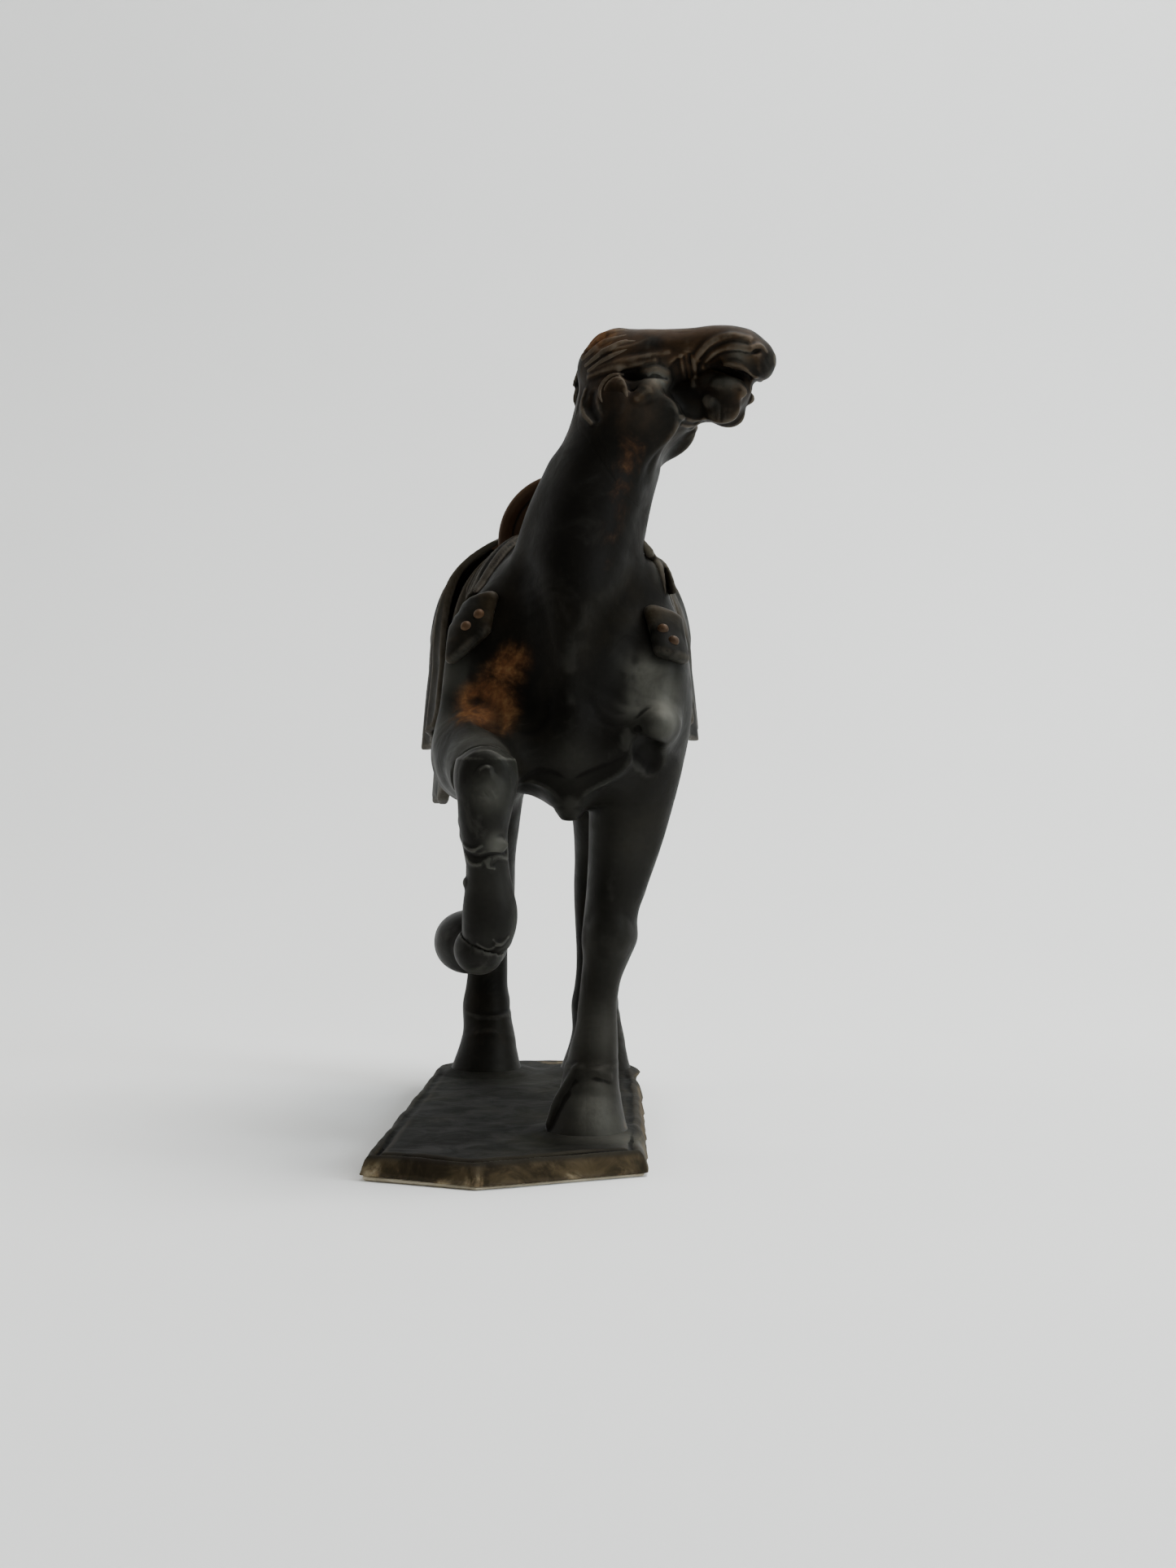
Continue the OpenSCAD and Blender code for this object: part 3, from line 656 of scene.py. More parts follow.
def head_clay():
    """The head on top of the neck, with its details placed as they are seen from the front."""
    clay = Clay((6, -92, 178), (83, -30, 256), 0.42)
    add_neck(clay)
    add_skull(clay)
    clay.add(on_head(ellipsoid((5.8, 0, 239.4), (4.2, 6.6, 4.6))), 3)
    clay.add(on_head(ellipsoid((13.4, 0, 245.6), (6.6, 7.2, 5))), 4)
    # Hollows: behind the mouth, the eye sockets and under the cheekbones.
    bump(clay, 51.4, 231.4, (3.8, 1.6, 6.6), 8, -1.2, carve=True)
    bump(clay, 36.6, 232, (3, 2, 5), 3.4, -0.4, carve=True)
    bump(clay, 36.4, 236.6, (3.6, 1.8, 2), 2.4, -0.3, 10, carve=True)
    # The cheek is smooth and nearly flat, with a soft curved back edge.
    bump(clay, 40.6, 222.5, (9, 2.4, 7.4), 9, 1.7)
    fold(clay, [(22.4, 231.4), (21.5, 227.6), (21.8, 224.4), (24, 221.6)],
         (0.5, 0.85, 0.8, 0.4), 1.4, 0.2)
    fold(clay, [(24.4, 230.6), (23.8, 226.6), (25.6, 223)], (0.5, 1.3, 0.5), 2, -0.1, True)
    # Brow, slit eye and the bright cheekbone that runs down and back from it.
    fold(clay, [(39.4, 237.4), (42.6, 238), (46.6, 236.8)], (0.4, 1, 0.5), 1.6, 0.2)
    fold(clay, [(46, 234.4), (43.2, 233), (40.4, 230.8), (38, 229)], (1, 2.1, 2.2, 0.9), 2.4, 0.5)
    fold(clay, [(40.6, 235.4), (43.4, 235.8), (46.8, 235)], (0.3, 0.65, 0.35), 0.6, -0.1, True)
    # Two long low ridges run from the poll along the brow.
    for marks in ([(24, 237.4), (30, 239.4), (38, 241.2), (47, 243)],
                  [(23.4, 235.6), (29, 237.8), (36, 239.2), (43, 240.6)]):
        fold(clay, marks, (0.4, 0.8, 0.7, 0.3), 1.4, 0.25)
    # Folds sweep up from the mouth's corner and over the muzzle.
    for marks, thick in (([(54.6, 233), (54.4, 239), (58, 243.6), (64, 246), (71, 246)], 0.95),
                         ([(55, 241), (59.4, 245.8), (66, 248), (71.6, 247.2)], 0.75),
                         ([(57.4, 238.6), (60.4, 242), (66, 244), (72, 243.6)], 0.8)):
        fold(clay, marks, (0.35, thick, thick, 0.35), 1.5, 0.3)
    for marks in ([(57, 241), (60.4, 244.3), (66, 246.4), (71, 246)],
                  [(58.4, 239), (62.4, 242), (67, 243.2), (72, 242.6)]):
        fold(clay, marks, (0.3, 0.55, 0.3), 1, -0.1, True)
    bump(clay, 74.2, 243.6, (2, 1, 0.9), 0.9, -0.5, -20, carve=True)
    fold(clay, [(72, 244.4), (74.6, 244.9), (76.4, 243.2)], (0.4, 0.7, 0.4), 0.9, 0.1)
    # Upright wrinkles stretch behind the mouth's corner.
    for x in (51.4, 53, 54.8):
        fold(clay, [(x - 0.6, 242), (x, 239), (x + 0.4, 235.6)], (0.25, 0.5, 0.25), 1, 0.1)
    # The open mouth, its full upper lip, and the lower lip and chin.
    clay.carve(on_head(slot_across([(43.4, 238), (47, 237.2), (51, 235.2), (55.5, 232.8),
                                    (59, 230.6)], (0.4, 1.1, 1.2, 0.8, 0.6), 3.6)), 0.8)
    bump(clay, 67.6, 240, (4.4, 1.5, 1.9), 1.6, 0.5, 16)
    fold(clay, [(63, 239.4), (67.6, 239.4), (73.4, 235.8)], (0.3, 0.7, 0.6), 1, 0.2)
    bump(clay, 66, 232, (4.8, 1.8, 2.6), 2.4, 0.8, 18)
    bump(clay, 59.6, 228.6, (2, 1.2, 1.8), 1.4, 0.5)
    bump(clay, 64, 225.4, (4.2, 2, 3.4), 3.4, 1)
    for marks in ([(50.6, 223.6), (54.2, 222.8), (58, 223.4)], [(51, 221.6), (53.6, 221.2), (56, 222)]):
        fold(clay, marks, (0.3, 0.7, 0.3), 1.2, 0.2)
    return clay


def ear_clay(head, side):
    """An ear laid back along the skull: a curved rim round a shallow bowl."""
    low, high = ((18, -84, 222), (42, -58, 242)) if side > 0 else ((20, -62, 218), (52, -30, 246))
    clay = Clay(low, high, 0.34)
    one = {"on": head, "sides": (side,)}
    bump(clay, 30.8, 231.6, (3.4, 0.9, 4.4), 0, 0.75, 26, **one)
    fold(clay, [(33.6, 236.4), (30, 236), (27.4, 233.6), (26.4, 230.6), (27.2, 228)],
         (0.35, 0.6, 0.7, 0.6, 0.3), 0.9, 0.1, **one)
    fold(clay, [(32, 234.6), (34, 231.6), (34.8, 228.8)], (0.35, 0.6, 0.35), 1.4, 0.4, **one)
    return clay


def forelock_clay(head):
    """Short locks fan over the poll and lie forward on both sides of it."""
    clay = Clay((16, -84, 232), (46, -28, 256), 0.34)
    locks = [((22.4, 243), (27, 247.4), (33.4, 249.6)), ((21.6, 241), (27.4, 245.6), (35.4, 248.4)),
             ((22.4, 239), (27.8, 243.2), (34.4, 246.6)), ((23.2, 237.4), (28.8, 241.2), (36.4, 244.6)),
             ((28, 242.6), (32.4, 245.4), (38.4, 246.4))]
    for n, marks in enumerate(locks):
        fold(clay, marks, (0.7, 1.3 - 0.1 * n, 0.3), 1, 0.45, on=head)
    for n, s in enumerate(np.linspace(-7.5, 7.5, 7)):
        crown = [face(a, s * (1.05 - 0.02 * a) + 0.5 * math.sin(n + a * 0.3), 264)
                 for a in (4, 9, 13, 17 + 2 * (n % 2))]
        path = np.array([head.surface(p, (0, 0, -1), 34) for p in crown]) - (0, 0, 0.5)
        clay.add(strand(path, (0.9, 1.4, 1.1, 0.3)), 1)
    return clay


# ---------- saddle and cloths ----------

SADDLE_ARCH = [(-40, 188.5, 32), (-20, 190, 33.6), (0, 190.5, 35.8), (25, 192.5, 38.2), (50, 199.5, 40)]
WAIST_Z = 152.0  # the height below which the arch's sides hang straight
SQUARENESS = 2.5  # two would make the arch's top an ellipse, more makes it squarer
BLANKET_FLARE, CLOTH_FLARE = 0.07, 0.1  # how far the sides spread for each mm down
PLEATS_MEET_Y, PLEATS_MEET_Z = POMMEL_Y - 6, 222  # the lines of the cloth's pleats meet here


def arch(flare):
    """The distance to an arch over the back whose sides hang straight and spread below.
    SADDLE_ARCH gives its top and half width at several places along the back."""
    along, tops, halves = np.array(SADDLE_ARCH, float).T

    def distance(x, y, z):
        top = np.interp(y, along, tops).astype(np.float32)
        half = np.interp(y, along, halves).astype(np.float32)
        across = x - (13.8 - 0.01 * y)
        # The left side is tucked in above z = 138, towards the front.
        tuck = 0.07 * np.clip((z - 138) / 20, 0, 1) * np.clip((12 - y) / 30, 0, 1)
        across = np.where(across > 0, across * (1 + tuck), -across)
        rise = top - WAIST_Z
        u, v = across / half, np.maximum(z - WAIST_Z, 0) / rise
        near = (u ** SQUARENESS + v ** SQUARENESS) ** (1 / SQUARENESS)
        slope = np.sqrt((u / half) ** 2 + (v / rise) ** 2) / np.maximum(np.sqrt(u * u + v * v), 1e-4)
        over = (near - 1) / np.maximum(slope, 1e-4)
        beside = across - half - flare * np.maximum(WAIST_Z - z, 0)
        return np.where(z > WAIST_Z, over, beside)

    return distance


def sheet(clay, flare, inner, outer, hem, front, back, edge):
    """Lays a sheet over the arch: inner, outer and hem are functions or numbers."""
    x, y, z = clay.grid()
    d = arch(flare)(x, y, z)
    inner, outer, hem = (v(x, y, z) if callable(v) else v for v in (inner, outer, hem))
    body = smooth_max(d - outer, inner - d, edge)
    body = smooth_max(body, hem - z, edge)
    body = smooth_max(body, np.maximum(front - y, y - back), edge)
    clay.field = np.minimum(clay.field, body).astype(np.float32)


def fan(x, y, z):
    """How far round the fan of pleats a point of the cloth lies, in radians."""
    down = PLEATS_MEET_Z - z + 0.35 * np.abs(x - axis_x(y))
    return np.arctan2(y - PLEATS_MEET_Y, down)


def ridges(phase, sharp):
    """A row of rounded ridges with narrow valleys between, from 0 to 1."""
    return 1 - np.abs(np.sin(phase)) ** sharp


def blanket_clay():
    """The blanket hangs lower on the horse's right, and its lower edge waves."""
    clay = Clay((-36, -36, 105), (65, 49, 212), 0.66)

    def outer(x, y, z):
        waves = 0.5 * np.sin(y * 0.32 + 1.2 * np.sin(z * 0.06)) * np.clip((165 - z) / 30, 0, 1)
        return 2.4 + waves

    def hem(x, y, z):
        round_front = 0.055 * np.clip(-14 - y, 0, 30) ** 2
        return np.where(x < SADDLE_MIDDLE, 108, 127) + round_front * 0.5 + 1.2 * np.sin(y * 0.21)

    sheet(clay, BLANKET_FLARE, -1.2, outer, hem, BLANKET_FRONT + 0.3, BLANKET_BACK - 0.3, 1.2)
    return clay


def cloth_clay():
    """Pleats fan out below the pommel, coarse ones with finer ones between them."""
    clay = Clay((-38, -32, 120), (66, 40, 212), 0.62)

    def pleat(x, y, z):
        depth = np.clip((206 - z) / 26, 0.12, 1)
        angle = fan(x, y, z)
        first = ridges(angle * 15 + 0.4 * np.sin(z * 0.05), 1.3)
        second = ridges(angle * 33 + 0.02 * z, 1.5)
        return depth * (2.5 * first + 0.7 * second)

    def outer(x, y, z):
        return 4.6 + pleat(x, y, z)

    def inner(x, y, z):
        return 2.6 + 0.75 * pleat(x, y, z)

    def hem(x, y, z):
        scallops = 5 * np.cos(fan(x, y, z) * 7.5)
        return np.where(x < SADDLE_MIDDLE, 130, 133) + scallops + np.clip(-22 - y, 0, 10) * 0.8

    sheet(clay, CLOTH_FLARE, inner, outer, hem, POMMEL_Y + 3.2, CANTLE_Y - 0.2, 0.7)
    return clay


def seat_clay():
    """The padded seat between the boards, highest along its middle."""
    clay = Clay((-14, POMMEL_Y - 1, 186), (42, CANTLE_Y + 1, 212), 0.6)

    def outer(x, y, z):
        return 4.4 + 5 * np.exp(-((x - SADDLE_MIDDLE) / 13) ** 2) + 0.25 * np.sin(y * 0.5)

    sheet(clay, CLOTH_FLARE, 2.5, outer, 188, POMMEL_Y + 3.2, CANTLE_Y, 1.0)
    return clay


def board_clay(y_low, y_high, radius, top):
    """A bow across the back with a rolled rim, cut away where it sits on the blanket."""
    y = (y_low + y_high) / 2
    x = axis_x(y)
    clay = Clay((x - radius - 2, y_low - 1.4, 186), (x + radius + 2, y_high + 1.4, top + 2), 0.4)
    gx, gy, gz = clay.grid()
    disc = (np.sqrt(((gx - x) / radius) ** 2 + ((gz - (top - radius)) / radius) ** 2) - 1) * radius
    plate = smooth_max(disc, np.abs(gy - y) - (y_high - y_low) / 2 + 0.3, 1.4)
    rim = np.sqrt((disc + 1.5) ** 2 + (gy - y) ** 2) - 1.75
    field = smooth_min(plate, rim, 1.2)
    field = smooth_max(field, np.minimum(0.7 - np.abs(gy - y_low), -disc - 4), 0.6)
    under = arch(BLANKET_FLARE)(gx, gy, gz) - 2.2
    clay.field = smooth_max(field, -under, 0.6).astype(np.float32)
    return clay


def apron_clay(body):
    """A finely pleated apron wraps the foot of the neck in front of the pommel."""
    clay = body.part((-16, -66, 160), (56, POMMEL_Y + 0.5, 214))
    x, y, z = clay.grid()
    angle = np.arctan2(x - 19, -(y + 20))
    turn = np.abs(angle)
    pleats = 0.5 + 0.5 * np.cos(angle * 52 + 0.06 * z)
    coarse = 0.5 + 0.5 * np.cos(angle * 17 + 1)
    thick = 0.9 + 1.1 * pleats + 0.7 * coarse
    low = 170 + 2.4 * np.cos(angle * 26) + 9 * np.clip(0.9 - turn, 0, 1)
    high = 191 - 3 * np.clip(turn - 1.2, -1, 1)
    skin = np.maximum(clay.field - thick, -0.8 - clay.field)
    for beyond in (low - z, z - high, (0.62 - turn) * 24):
        skin = smooth_max(skin, beyond, 1.0)
    clay.field = smooth_max(skin, y - (POMMEL_Y - 0.2), 0.6).astype(np.float32)
    # Loose folds sweep from the pommel's foot down over both shoulders.
    for marks in ([(2, 191), (-4, 183), (-9, 174)], [(-1, 190), (-7, 183), (-12, 175)],
                  [(39, 187), (44, 180), (46.4, 171)]):
        clay.add(front_strand(body, marks, 0.3, (0.6, 1.6, 1.5, 0.5)), 1.2)
    return clay


def flap_clay(body, side):
    """The blanket's upper front corner, folded down over the shoulder like a lapel."""
    corners = {1: [(41.4, 165), (49.6, 162.4), (51.6, 151), (44, 153.6)],
               -1: [(-5.4, 169.4), (-17, 166.4), (-18, 151), (-7.4, 160)]}[side]
    a, b, c, d = (np.array(p, float) for p in corners)
    thick = 1.5
    rows = []
    for u in np.linspace(0, 1, 13):
        top, bottom = a + (b - a) * u, d + (c - d) * u
        marks = [top + (bottom - top) * v for v in np.linspace(0, 1, 6)]
        rows.append(np.array([from_front(body, x, z) - (0, 0.9, 0) for x, z in marks]))
    points = np.concatenate(rows)
    clay = Clay(points.min(0) - 4, points.max(0) + 4, 0.4)
    for row in rows:
        clay.add(strand(row, (thick, thick * 0.8, thick), 12), 2)
    rim = [row[0] for row in rows] + list(rows[-1][1:])
    clay.add(strand(np.array(rim) - (0, 0.5, 0), (1, 1.5, 1.7, 1), 30), 0.8)
    clay.add(strand(np.array([row[-1] for row in rows]) - (0, 0.2, 0), (1.2, 1.5, 1), 24), 0.8)
    return clay


def boss_clay(flap, side):
    """Two round bosses on a shoulder flap."""
    marks = {1: [(45.2, 159.4), (48.2, 155.8)], -1: [(-9.4, 164), (-13.2, 160.4)]}[side]
    centres = [from_front(flap, x, z) for x, z in marks]
    clay = Clay(np.min(centres, 0) - 4, np.max(centres, 0) + 4, 0.3)
    for c in centres:
        clay.add(ellipsoid(c + (0, 0.5, 0), (1.8, 1.3, 1.7)), 0.5)
    return clay


def mane_clay(body):
    """A low roached mane along the crest, cut into short tufts."""
    clay = Clay((8, -64, 176), (36, -30, 252), 0.5)
    crest = []
    for x, y, z, turn in ((24.4, -62, 200, 0), (28.8, -61, 212, 14), (32.3, -59.5, 223, 30),
                          (33.2, -58, 233, 46), (32, -57, 241, 56)):
        out = np.array([-math.sin(math.radians(turn)), math.cos(math.radians(turn)), 0])
        crest.append(body.surface(np.array([x, y, z]) + out * 45, -out, 60))
    clay.add(strand(crest, (2.2, 2.9, 2.6, 2)), 0)
    path = smooth_path(crest, 22)
    for n, p in enumerate(path):
        for side in (-1, 1):
            root = p + (side * 1.4, 0.4, 0)
            tip = p + (side * 4, 1.6 - 0.4 * (n % 2), -4.4 - (n % 3))
            clay.add(strand([root, tip], (1.5, 0.5)), 0.6)
    return clay


def tail_clay():
    """A tail tied up short, of strands twisted round each other."""
    clay = Clay((-2, 92, 130), (22, 115, 186), 0.5)
    line = [(10, 97, 179), (10, 104.5, 177.5), (10, 107.4, 168), (10, 107.6, 154), (10, 108.6, 137.5)]
    clay.add(strand(line, (4, 5.2, 4.6, 3.6, 1.2)), 0)
    path = smooth_path(line, 40)
    for n in range(7):
        turn = np.linspace(0, 2.6, 40) + n * 2 * math.pi / 7
        reach = np.interp(np.linspace(0, 1, 40), (0, 0.3, 0.75, 1), (3, 4.4, 3, 0.4))
        locks = path + np.array([np.cos(turn) * reach, np.sin(turn) * reach * 0.75, 0 * turn]).T
        clay.add(strand(locks, (1, 1.5, 1.3, 0.5), 40), 0.5)
    return clay


# ---------- parting the casting into its pieces ----------

RUN_ON = 1.4  # how far a piece goes on past its seam
SUNK = 0.08  # how far beneath its neighbour's surface it does so


def cut_out(clay, region, *corners):
    """The piece of the casting inside a region; it runs on a little past the seam, just beneath
    its neighbour's surface, so the seam is closed."""
    block = clay.part(*corners)
    side = region(*block.grid())
    beyond = np.clip(side / block.voxel + 0.5, 0, 1)
    block.field = np.maximum(block.field + SUNK * beyond, side - RUN_ON).astype(np.float32)
    block.seam = region
    close_block(block)
    return block


def close_block(block):
    """Ends the clay inside its block, so that every piece is a closed solid."""
    for axis in range(3):
        for edge in (0, -1):
            face_cells = np.moveaxis(block.field, axis, 0)[edge]
            np.maximum(face_cells, block.voxel, out=face_cells)


def largest(*distances):
    """Inside only what is inside every one of the distances."""
    return reduce(np.maximum, distances)


neck_plane = half_space((18.5, -36, 208), (0, 66, -50))
head_normal = HEAD_TURN @ np.array([35.0, 0, 24.0])
head_plane = half_space(face(0, 0, 244) - 9 * head_normal / np.linalg.norm(head_normal), head_normal)
knee_side = half_space((-6.5, -100, 117), (0, 18, 14))


def forearm_region(x, y, z):
    return largest(y + 62, x - 0.5, z - 141)


def foreleg_region(x, y, z):
    return largest(z - LEG_JOINT, 22.4 - x, y + 20)


def hindleg_region(side):
    return lambda x, y, z: largest(z - LEG_JOINT, side * (10 - x), 30 - y)


def neck_region(x, y, z):
    return largest(neck_plane(x, y, z), head_plane(x, y, z), -forearm_region(x, y, z))


def head_region(x, y, z):
    return -head_plane(x, y, z)


def torso_region(x, y, z):
    others = (neck_plane(x, y, z), forearm_region(x, y, z), foreleg_region(x, y, z),
              largest(z - LEG_JOINT, 30 - y))
    return largest(*(-other for other in others))


# ---------- the raised foreleg below the knee ----------

def knee_mass():
    """The knee's rounded front, which the forearm and the cannon share."""
    rows = [(-110.5, -5.8, 117, 0.6, 0.6), (-110.3, -5.8, 117, 2.9, 3.1), (-109.6, -5.9, 116.8, 5, 5.3),
            (-107.6, -5.9, 116.4, 6.9, 7.2), (-104.6, -6, 116, 8.3, 8.6), (-101, -6.2, 116, 8.8, 9.2)]
    return limb(1, rows)


def knee_details(clay):
    """Scratches on the knee, the wrinkled seam below it and small nicks down its outer edge."""
    for marks in ([(-9.6, 113.4), (-7.4, 112), (-5.4, 109.6)], [(-6, 112.6), (-4, 111), (-2.6, 109)],
                  [(-8.6, 110.6), (-6.6, 110.2), (-4.4, 108.4)], [(-7, 117.6), (-5, 118.4), (-3, 117.6)]):
        clay.add(front_strand(clay, marks, 0.1, (0.15, 0.34, 0.15)), 0.4)
    for marks in ([(-11.4, 93.4), (-9.6, 91.2), (-7.4, 90.8), (-5.6, 92)],
                  [(-4.4, 91.2), (-2.6, 93), (0, 92.4)], [(-4.6, 92.8), (-5, 90.4), (-3.4, 89.8)],
                  [(-12, 96.6), (-9.4, 95), (-6.6, 96.2)]):
        clay.add(front_strand(clay, marks, 0.15, (0.3, 0.6, 0.3)), 0.7)
    seam = [(-11.6, 94.6), (-8, 93), (-4, 94), (0, 94.4)]
    clay.carve(front_strand(clay, seam, -0.1, (0.3, 0.5, 0.3)), 0.8)
    clay.add(ellipsoid(from_front(clay, -2.4, 96.4) + (0, 1, 0), (3, 1.6, 1.8)), 1.6)
    for x, z in ((-13.2, 103), (-12.8, 99), (-12, 85.6)):
        clay.add(ellipsoid((x + 0.6, -103.6, z), (1.1, 2, 1.6)), 0.9)


CANNON = [(65, -5.2, -101, 3.4, 4), (67, -5.3, -101.6, 5.8, 6), (70, -5.3, -102.2, 7.2, 7.2),
          (74, -4.9, -102.6, 7.8, 7.6), (78, -4.8, -102.8, 7.8, 7.4), (83, -5, -103, 7, 6.8),
          (89, -5.3, -103.2, 6.1, 6.4), (94, -5.9, -103.4, 6.3, 6.6), (100, -6.5, -104, 6.8, 7),
          (104, -6.3, -104.4, 7.4, 7.4), (108.5, -5.9, -104.6, 8, 7.8), (113, -5.8, -104.2, 8.4, 8),
          (120, -5.8, -103, 7.8, 7)]


def cannon_clay():
    """The raised leg from the knee's seam down to the fetlock."""
    clay = Clay((-20, -117, 62), (7, -88, 133), 0.45)
    clay.add(limb(2, CANNON))
    clay.add(knee_mass(), 3)
    knee_details(clay)
    for marks in ([(-8, 68.6), (-5, 67.2), (-1.4, 69.4)], [(-3.6, 70), (-2, 68.4), (0.4, 70.4)]):
        clay.add(front_strand(clay, marks, 0.1, (0.25, 0.5, 0.25)), 0.7)
    clay.keep(lambda x, y, z: knee_side(x, y, z) + MEETING_GAP)
    return clay


def raised_hoof_clay():
    """The hoof hangs back from the fetlock, with its sole turned to the rear."""
    clay = Clay((-26, -115, 54), (6, -70, 84), 0.45)
    start, end = (-8, -100, 68.4), (-12, -78.6, 67)
    sizes = [(3, 0.6, 0.6), (3.6, 3, 2.8), (5, 5.6, 5.2), (7.4, 7.8, 7.2), (10.4, 9.4, 8.6),
             (14, 10.5, 9.2), (18, 10.6, 9.3), (20.6, 10.4, 9.2), (22, 9.4, 8.2)]
    wall = limb(2, [(t, 0, 0, across, thick) for t, across, thick in sizes])
    clay.add(posed(wall, start, along_line(start, end)))
    clay.add(ellipsoid((-8, -100.4, 66.4), (7.2, 7.4, 7.2)), 3)
    clay.carve(ellipsoid((-12.2, -76.6, 66.6), (7.4, 2.6, 6.4)), 1)
    clay.carve(strand([(-12.2, -77.4, 66.6), (-12.2, -78, 60)], (1.8, 1)), 1)
    shank = limb(2, CANNON)
    clay.carve(Shape(shank.low, shank.high, lambda x, y, z: shank.distance(x, y, z) - MEETING_GAP))
    return clay


# ---------- the base ----------

CORNERS = [(-8, -113), (40, -91), (42, 56), (38, 103), (32, 113), (-27, 113), (-34, 97), (-42, -98)]


def outline_distance(x, y):
    """The distance to the slab's outline, negative inside it."""
    corners = np.array(CORNERS, float)
    best = np.full(np.broadcast(x, y).shape, 1e9)
    inside = np.zeros(best.shape, bool)
    for a, b in zip(corners, np.roll(corners, -1, 0)):
        d = b - a
        px, py = x - a[0], y - a[1]
        t = np.clip((px * d[0] + py * d[1]) / (d @ d), 0, 1)
        best = np.minimum(best, (px - t * d[0]) ** 2 + (py - t * d[1]) ** 2)
        crosses = ((a[1] > y) != (b[1] > y)) & (x < d[0] * (y - a[1]) / (d[1] or 1e-9) + a[0])
        inside ^= crosses
    return np.where(inside, -1, 1) * np.sqrt(best)


def slab_foot(x):
    """The slab's lower edge stands a little higher at the horse's right, over the pad."""
    return PAD_TOP + 0.5 * np.clip(-x / 41, 0, 1)


def slab_clay():
    """The slab has a low lip, a groove inside it that is deepest in front, and an uneven top."""
    clay = Clay((-43, -115, 0.4), (44, 115, 12.5), 0.65)
    x, y, z = clay.grid()
    flat = outline_distance(x[:, :, 0], y[:, :, 0])[:, :, None]
    inset = -flat
    wander = noise_field(x, y, 0 * x, 38, 3)
    front = np.clip((-y - 40) / 50, 0, 1) * np.clip((44 - x) / 50, 0.25, 1) + 0.25
    lip = 0.35 * np.exp(-((inset - 2) / 1.6) ** 2)
    groove = 1.7 * front * np.exp(-((inset - 4.4 - 0.9 * wander) / 1.1) ** 2)
    top = GROUND - 0.35 + lip - groove + 0.25 * wander + 0.08 * noise_field(x, y, 0 * x, 9, 4)
    wall = flat - 0.7 + 0.3 * (z - PAD_TOP) + 0.3 * noise_field(x, y, z * 0.4, 24, 5)
    field = smooth_max(z - top, wall, 3)
    clay.field = smooth_max(field, slab_foot(x) - z, 0.5).astype(np.float32)
    # The slab swells a little round every standing hoof.
    for foot in (FOOT["foreleg_left"], FOOT["hindleg_left"], (-15.2, 79.5)):
        clay.add(ellipsoid((*foot, GROUND - 0.9), (16.5, 20, 2.6)), 3)
    return clay


def pad_clay():
    """The pad stands out a little less than the slab that is glued to it."""
    clay = Clay((-42, -114, -1.2), (43, 114, 3.6), 0.6)
    x, y, z = clay.grid()
    flat = outline_distance(x[:, :, 0], y[:, :, 0])[:, :, None] + 0.5
    field = smooth_max(flat, z - slab_foot(x), 0.4)
    clay.field = smooth_max(field, -z, 0.25).astype(np.float32)
    return clay


# ---------- materials ----------

class Nodes:
    """A material's node tree, written as short calls that give back a node's output."""

    def __init__(self, name):
        self.material = bpy.data.materials.new(name)
        self.material.use_nodes = True
        self.tree = self.material.node_tree
        self.shader = self.tree.nodes["Principled BSDF"]
        self.place = self.node("ShaderNodeTexCoord")["Object"]

    def put(self, value, socket):
        """Links an output to a socket, or sets the socket to a number or a colour."""
        if hasattr(value, "is_output"):
            self.tree.links.new(value, socket)
        else:
            socket.default_value = (*value, 1.0) if isinstance(value, tuple) else value

    def node(self, kind, inputs=(), **settings):
        """The outputs of a new node with these settings and inputs."""
        node = self.tree.nodes.new(kind)
        for key, value in settings.items():
            setattr(node, key, value)
        for label, value in dict(inputs).items():
            self.put(value, node.inputs[label])
        return node.outputs

    def noise(self, scale, detail, roughness, distortion=0.0):
        return self.node("ShaderNodeTexNoise", {
            "Vector": self.place, "Scale": scale, "Detail": detail, "Roughness": roughness,
            "Distortion": distortion})["Fac"]

    def cells(self, scale):
        inputs = {"Vector": self.place, "Scale": scale}
        return self.node("ShaderNodeTexVoronoi", inputs, feature="F1")["Distance"]

    def attribute(self, name):
        return self.node("ShaderNodeAttribute", attribute_name=name)["Fac"]

    def times(self, a, b):
        return self.node("ShaderNodeMath", {0: a, 1: b}, operation="MULTIPLY")[0]

    def plus(self, a, b):
        return self.node("ShaderNodeMath", {0: a, 1: b}, operation="ADD")[0]

    def larger(self, a, b):
        return self.node("ShaderNodeMath", {0: a, 1: b}, operation="MAXIMUM")[0]

    def ramp(self, value, low, high, to_low=0.0, to_high=1.0):
        """Maps low..high onto to_low..to_high smoothly, and holds it outside."""
        inputs = {"Value": value, "From Min": low, "From Max": high, "To Min": to_low, "To Max": to_high}
        return self.node("ShaderNodeMapRange", inputs, interpolation_type="SMOOTHSTEP")["Result"]

    def mix(self, share, a, b):
        return self.node("ShaderNodeMix", {"Factor": share, "A": a, "B": b}, data_type="RGBA")["Result"]

    def bump(self, *layers):
        """Bumps of (height, strength, depth in mm), the finest last."""
        below = {}
        for height, strength, depth in layers:
            inputs = {"Height": height, "Strength": strength, "Distance": depth * MM, **below}
            below = {"Normal": self.node("ShaderNodeBump", inputs)["Normal"]}
        self.put(below["Normal"], self.shader.inputs["Normal"])

    def finish(self, colour, roughness, metallic):
        for label, value in (("Base Color", colour), ("Roughness", roughness), ("Metallic", metallic)):
            self.put(value, self.shader.inputs[label])
        return self.material


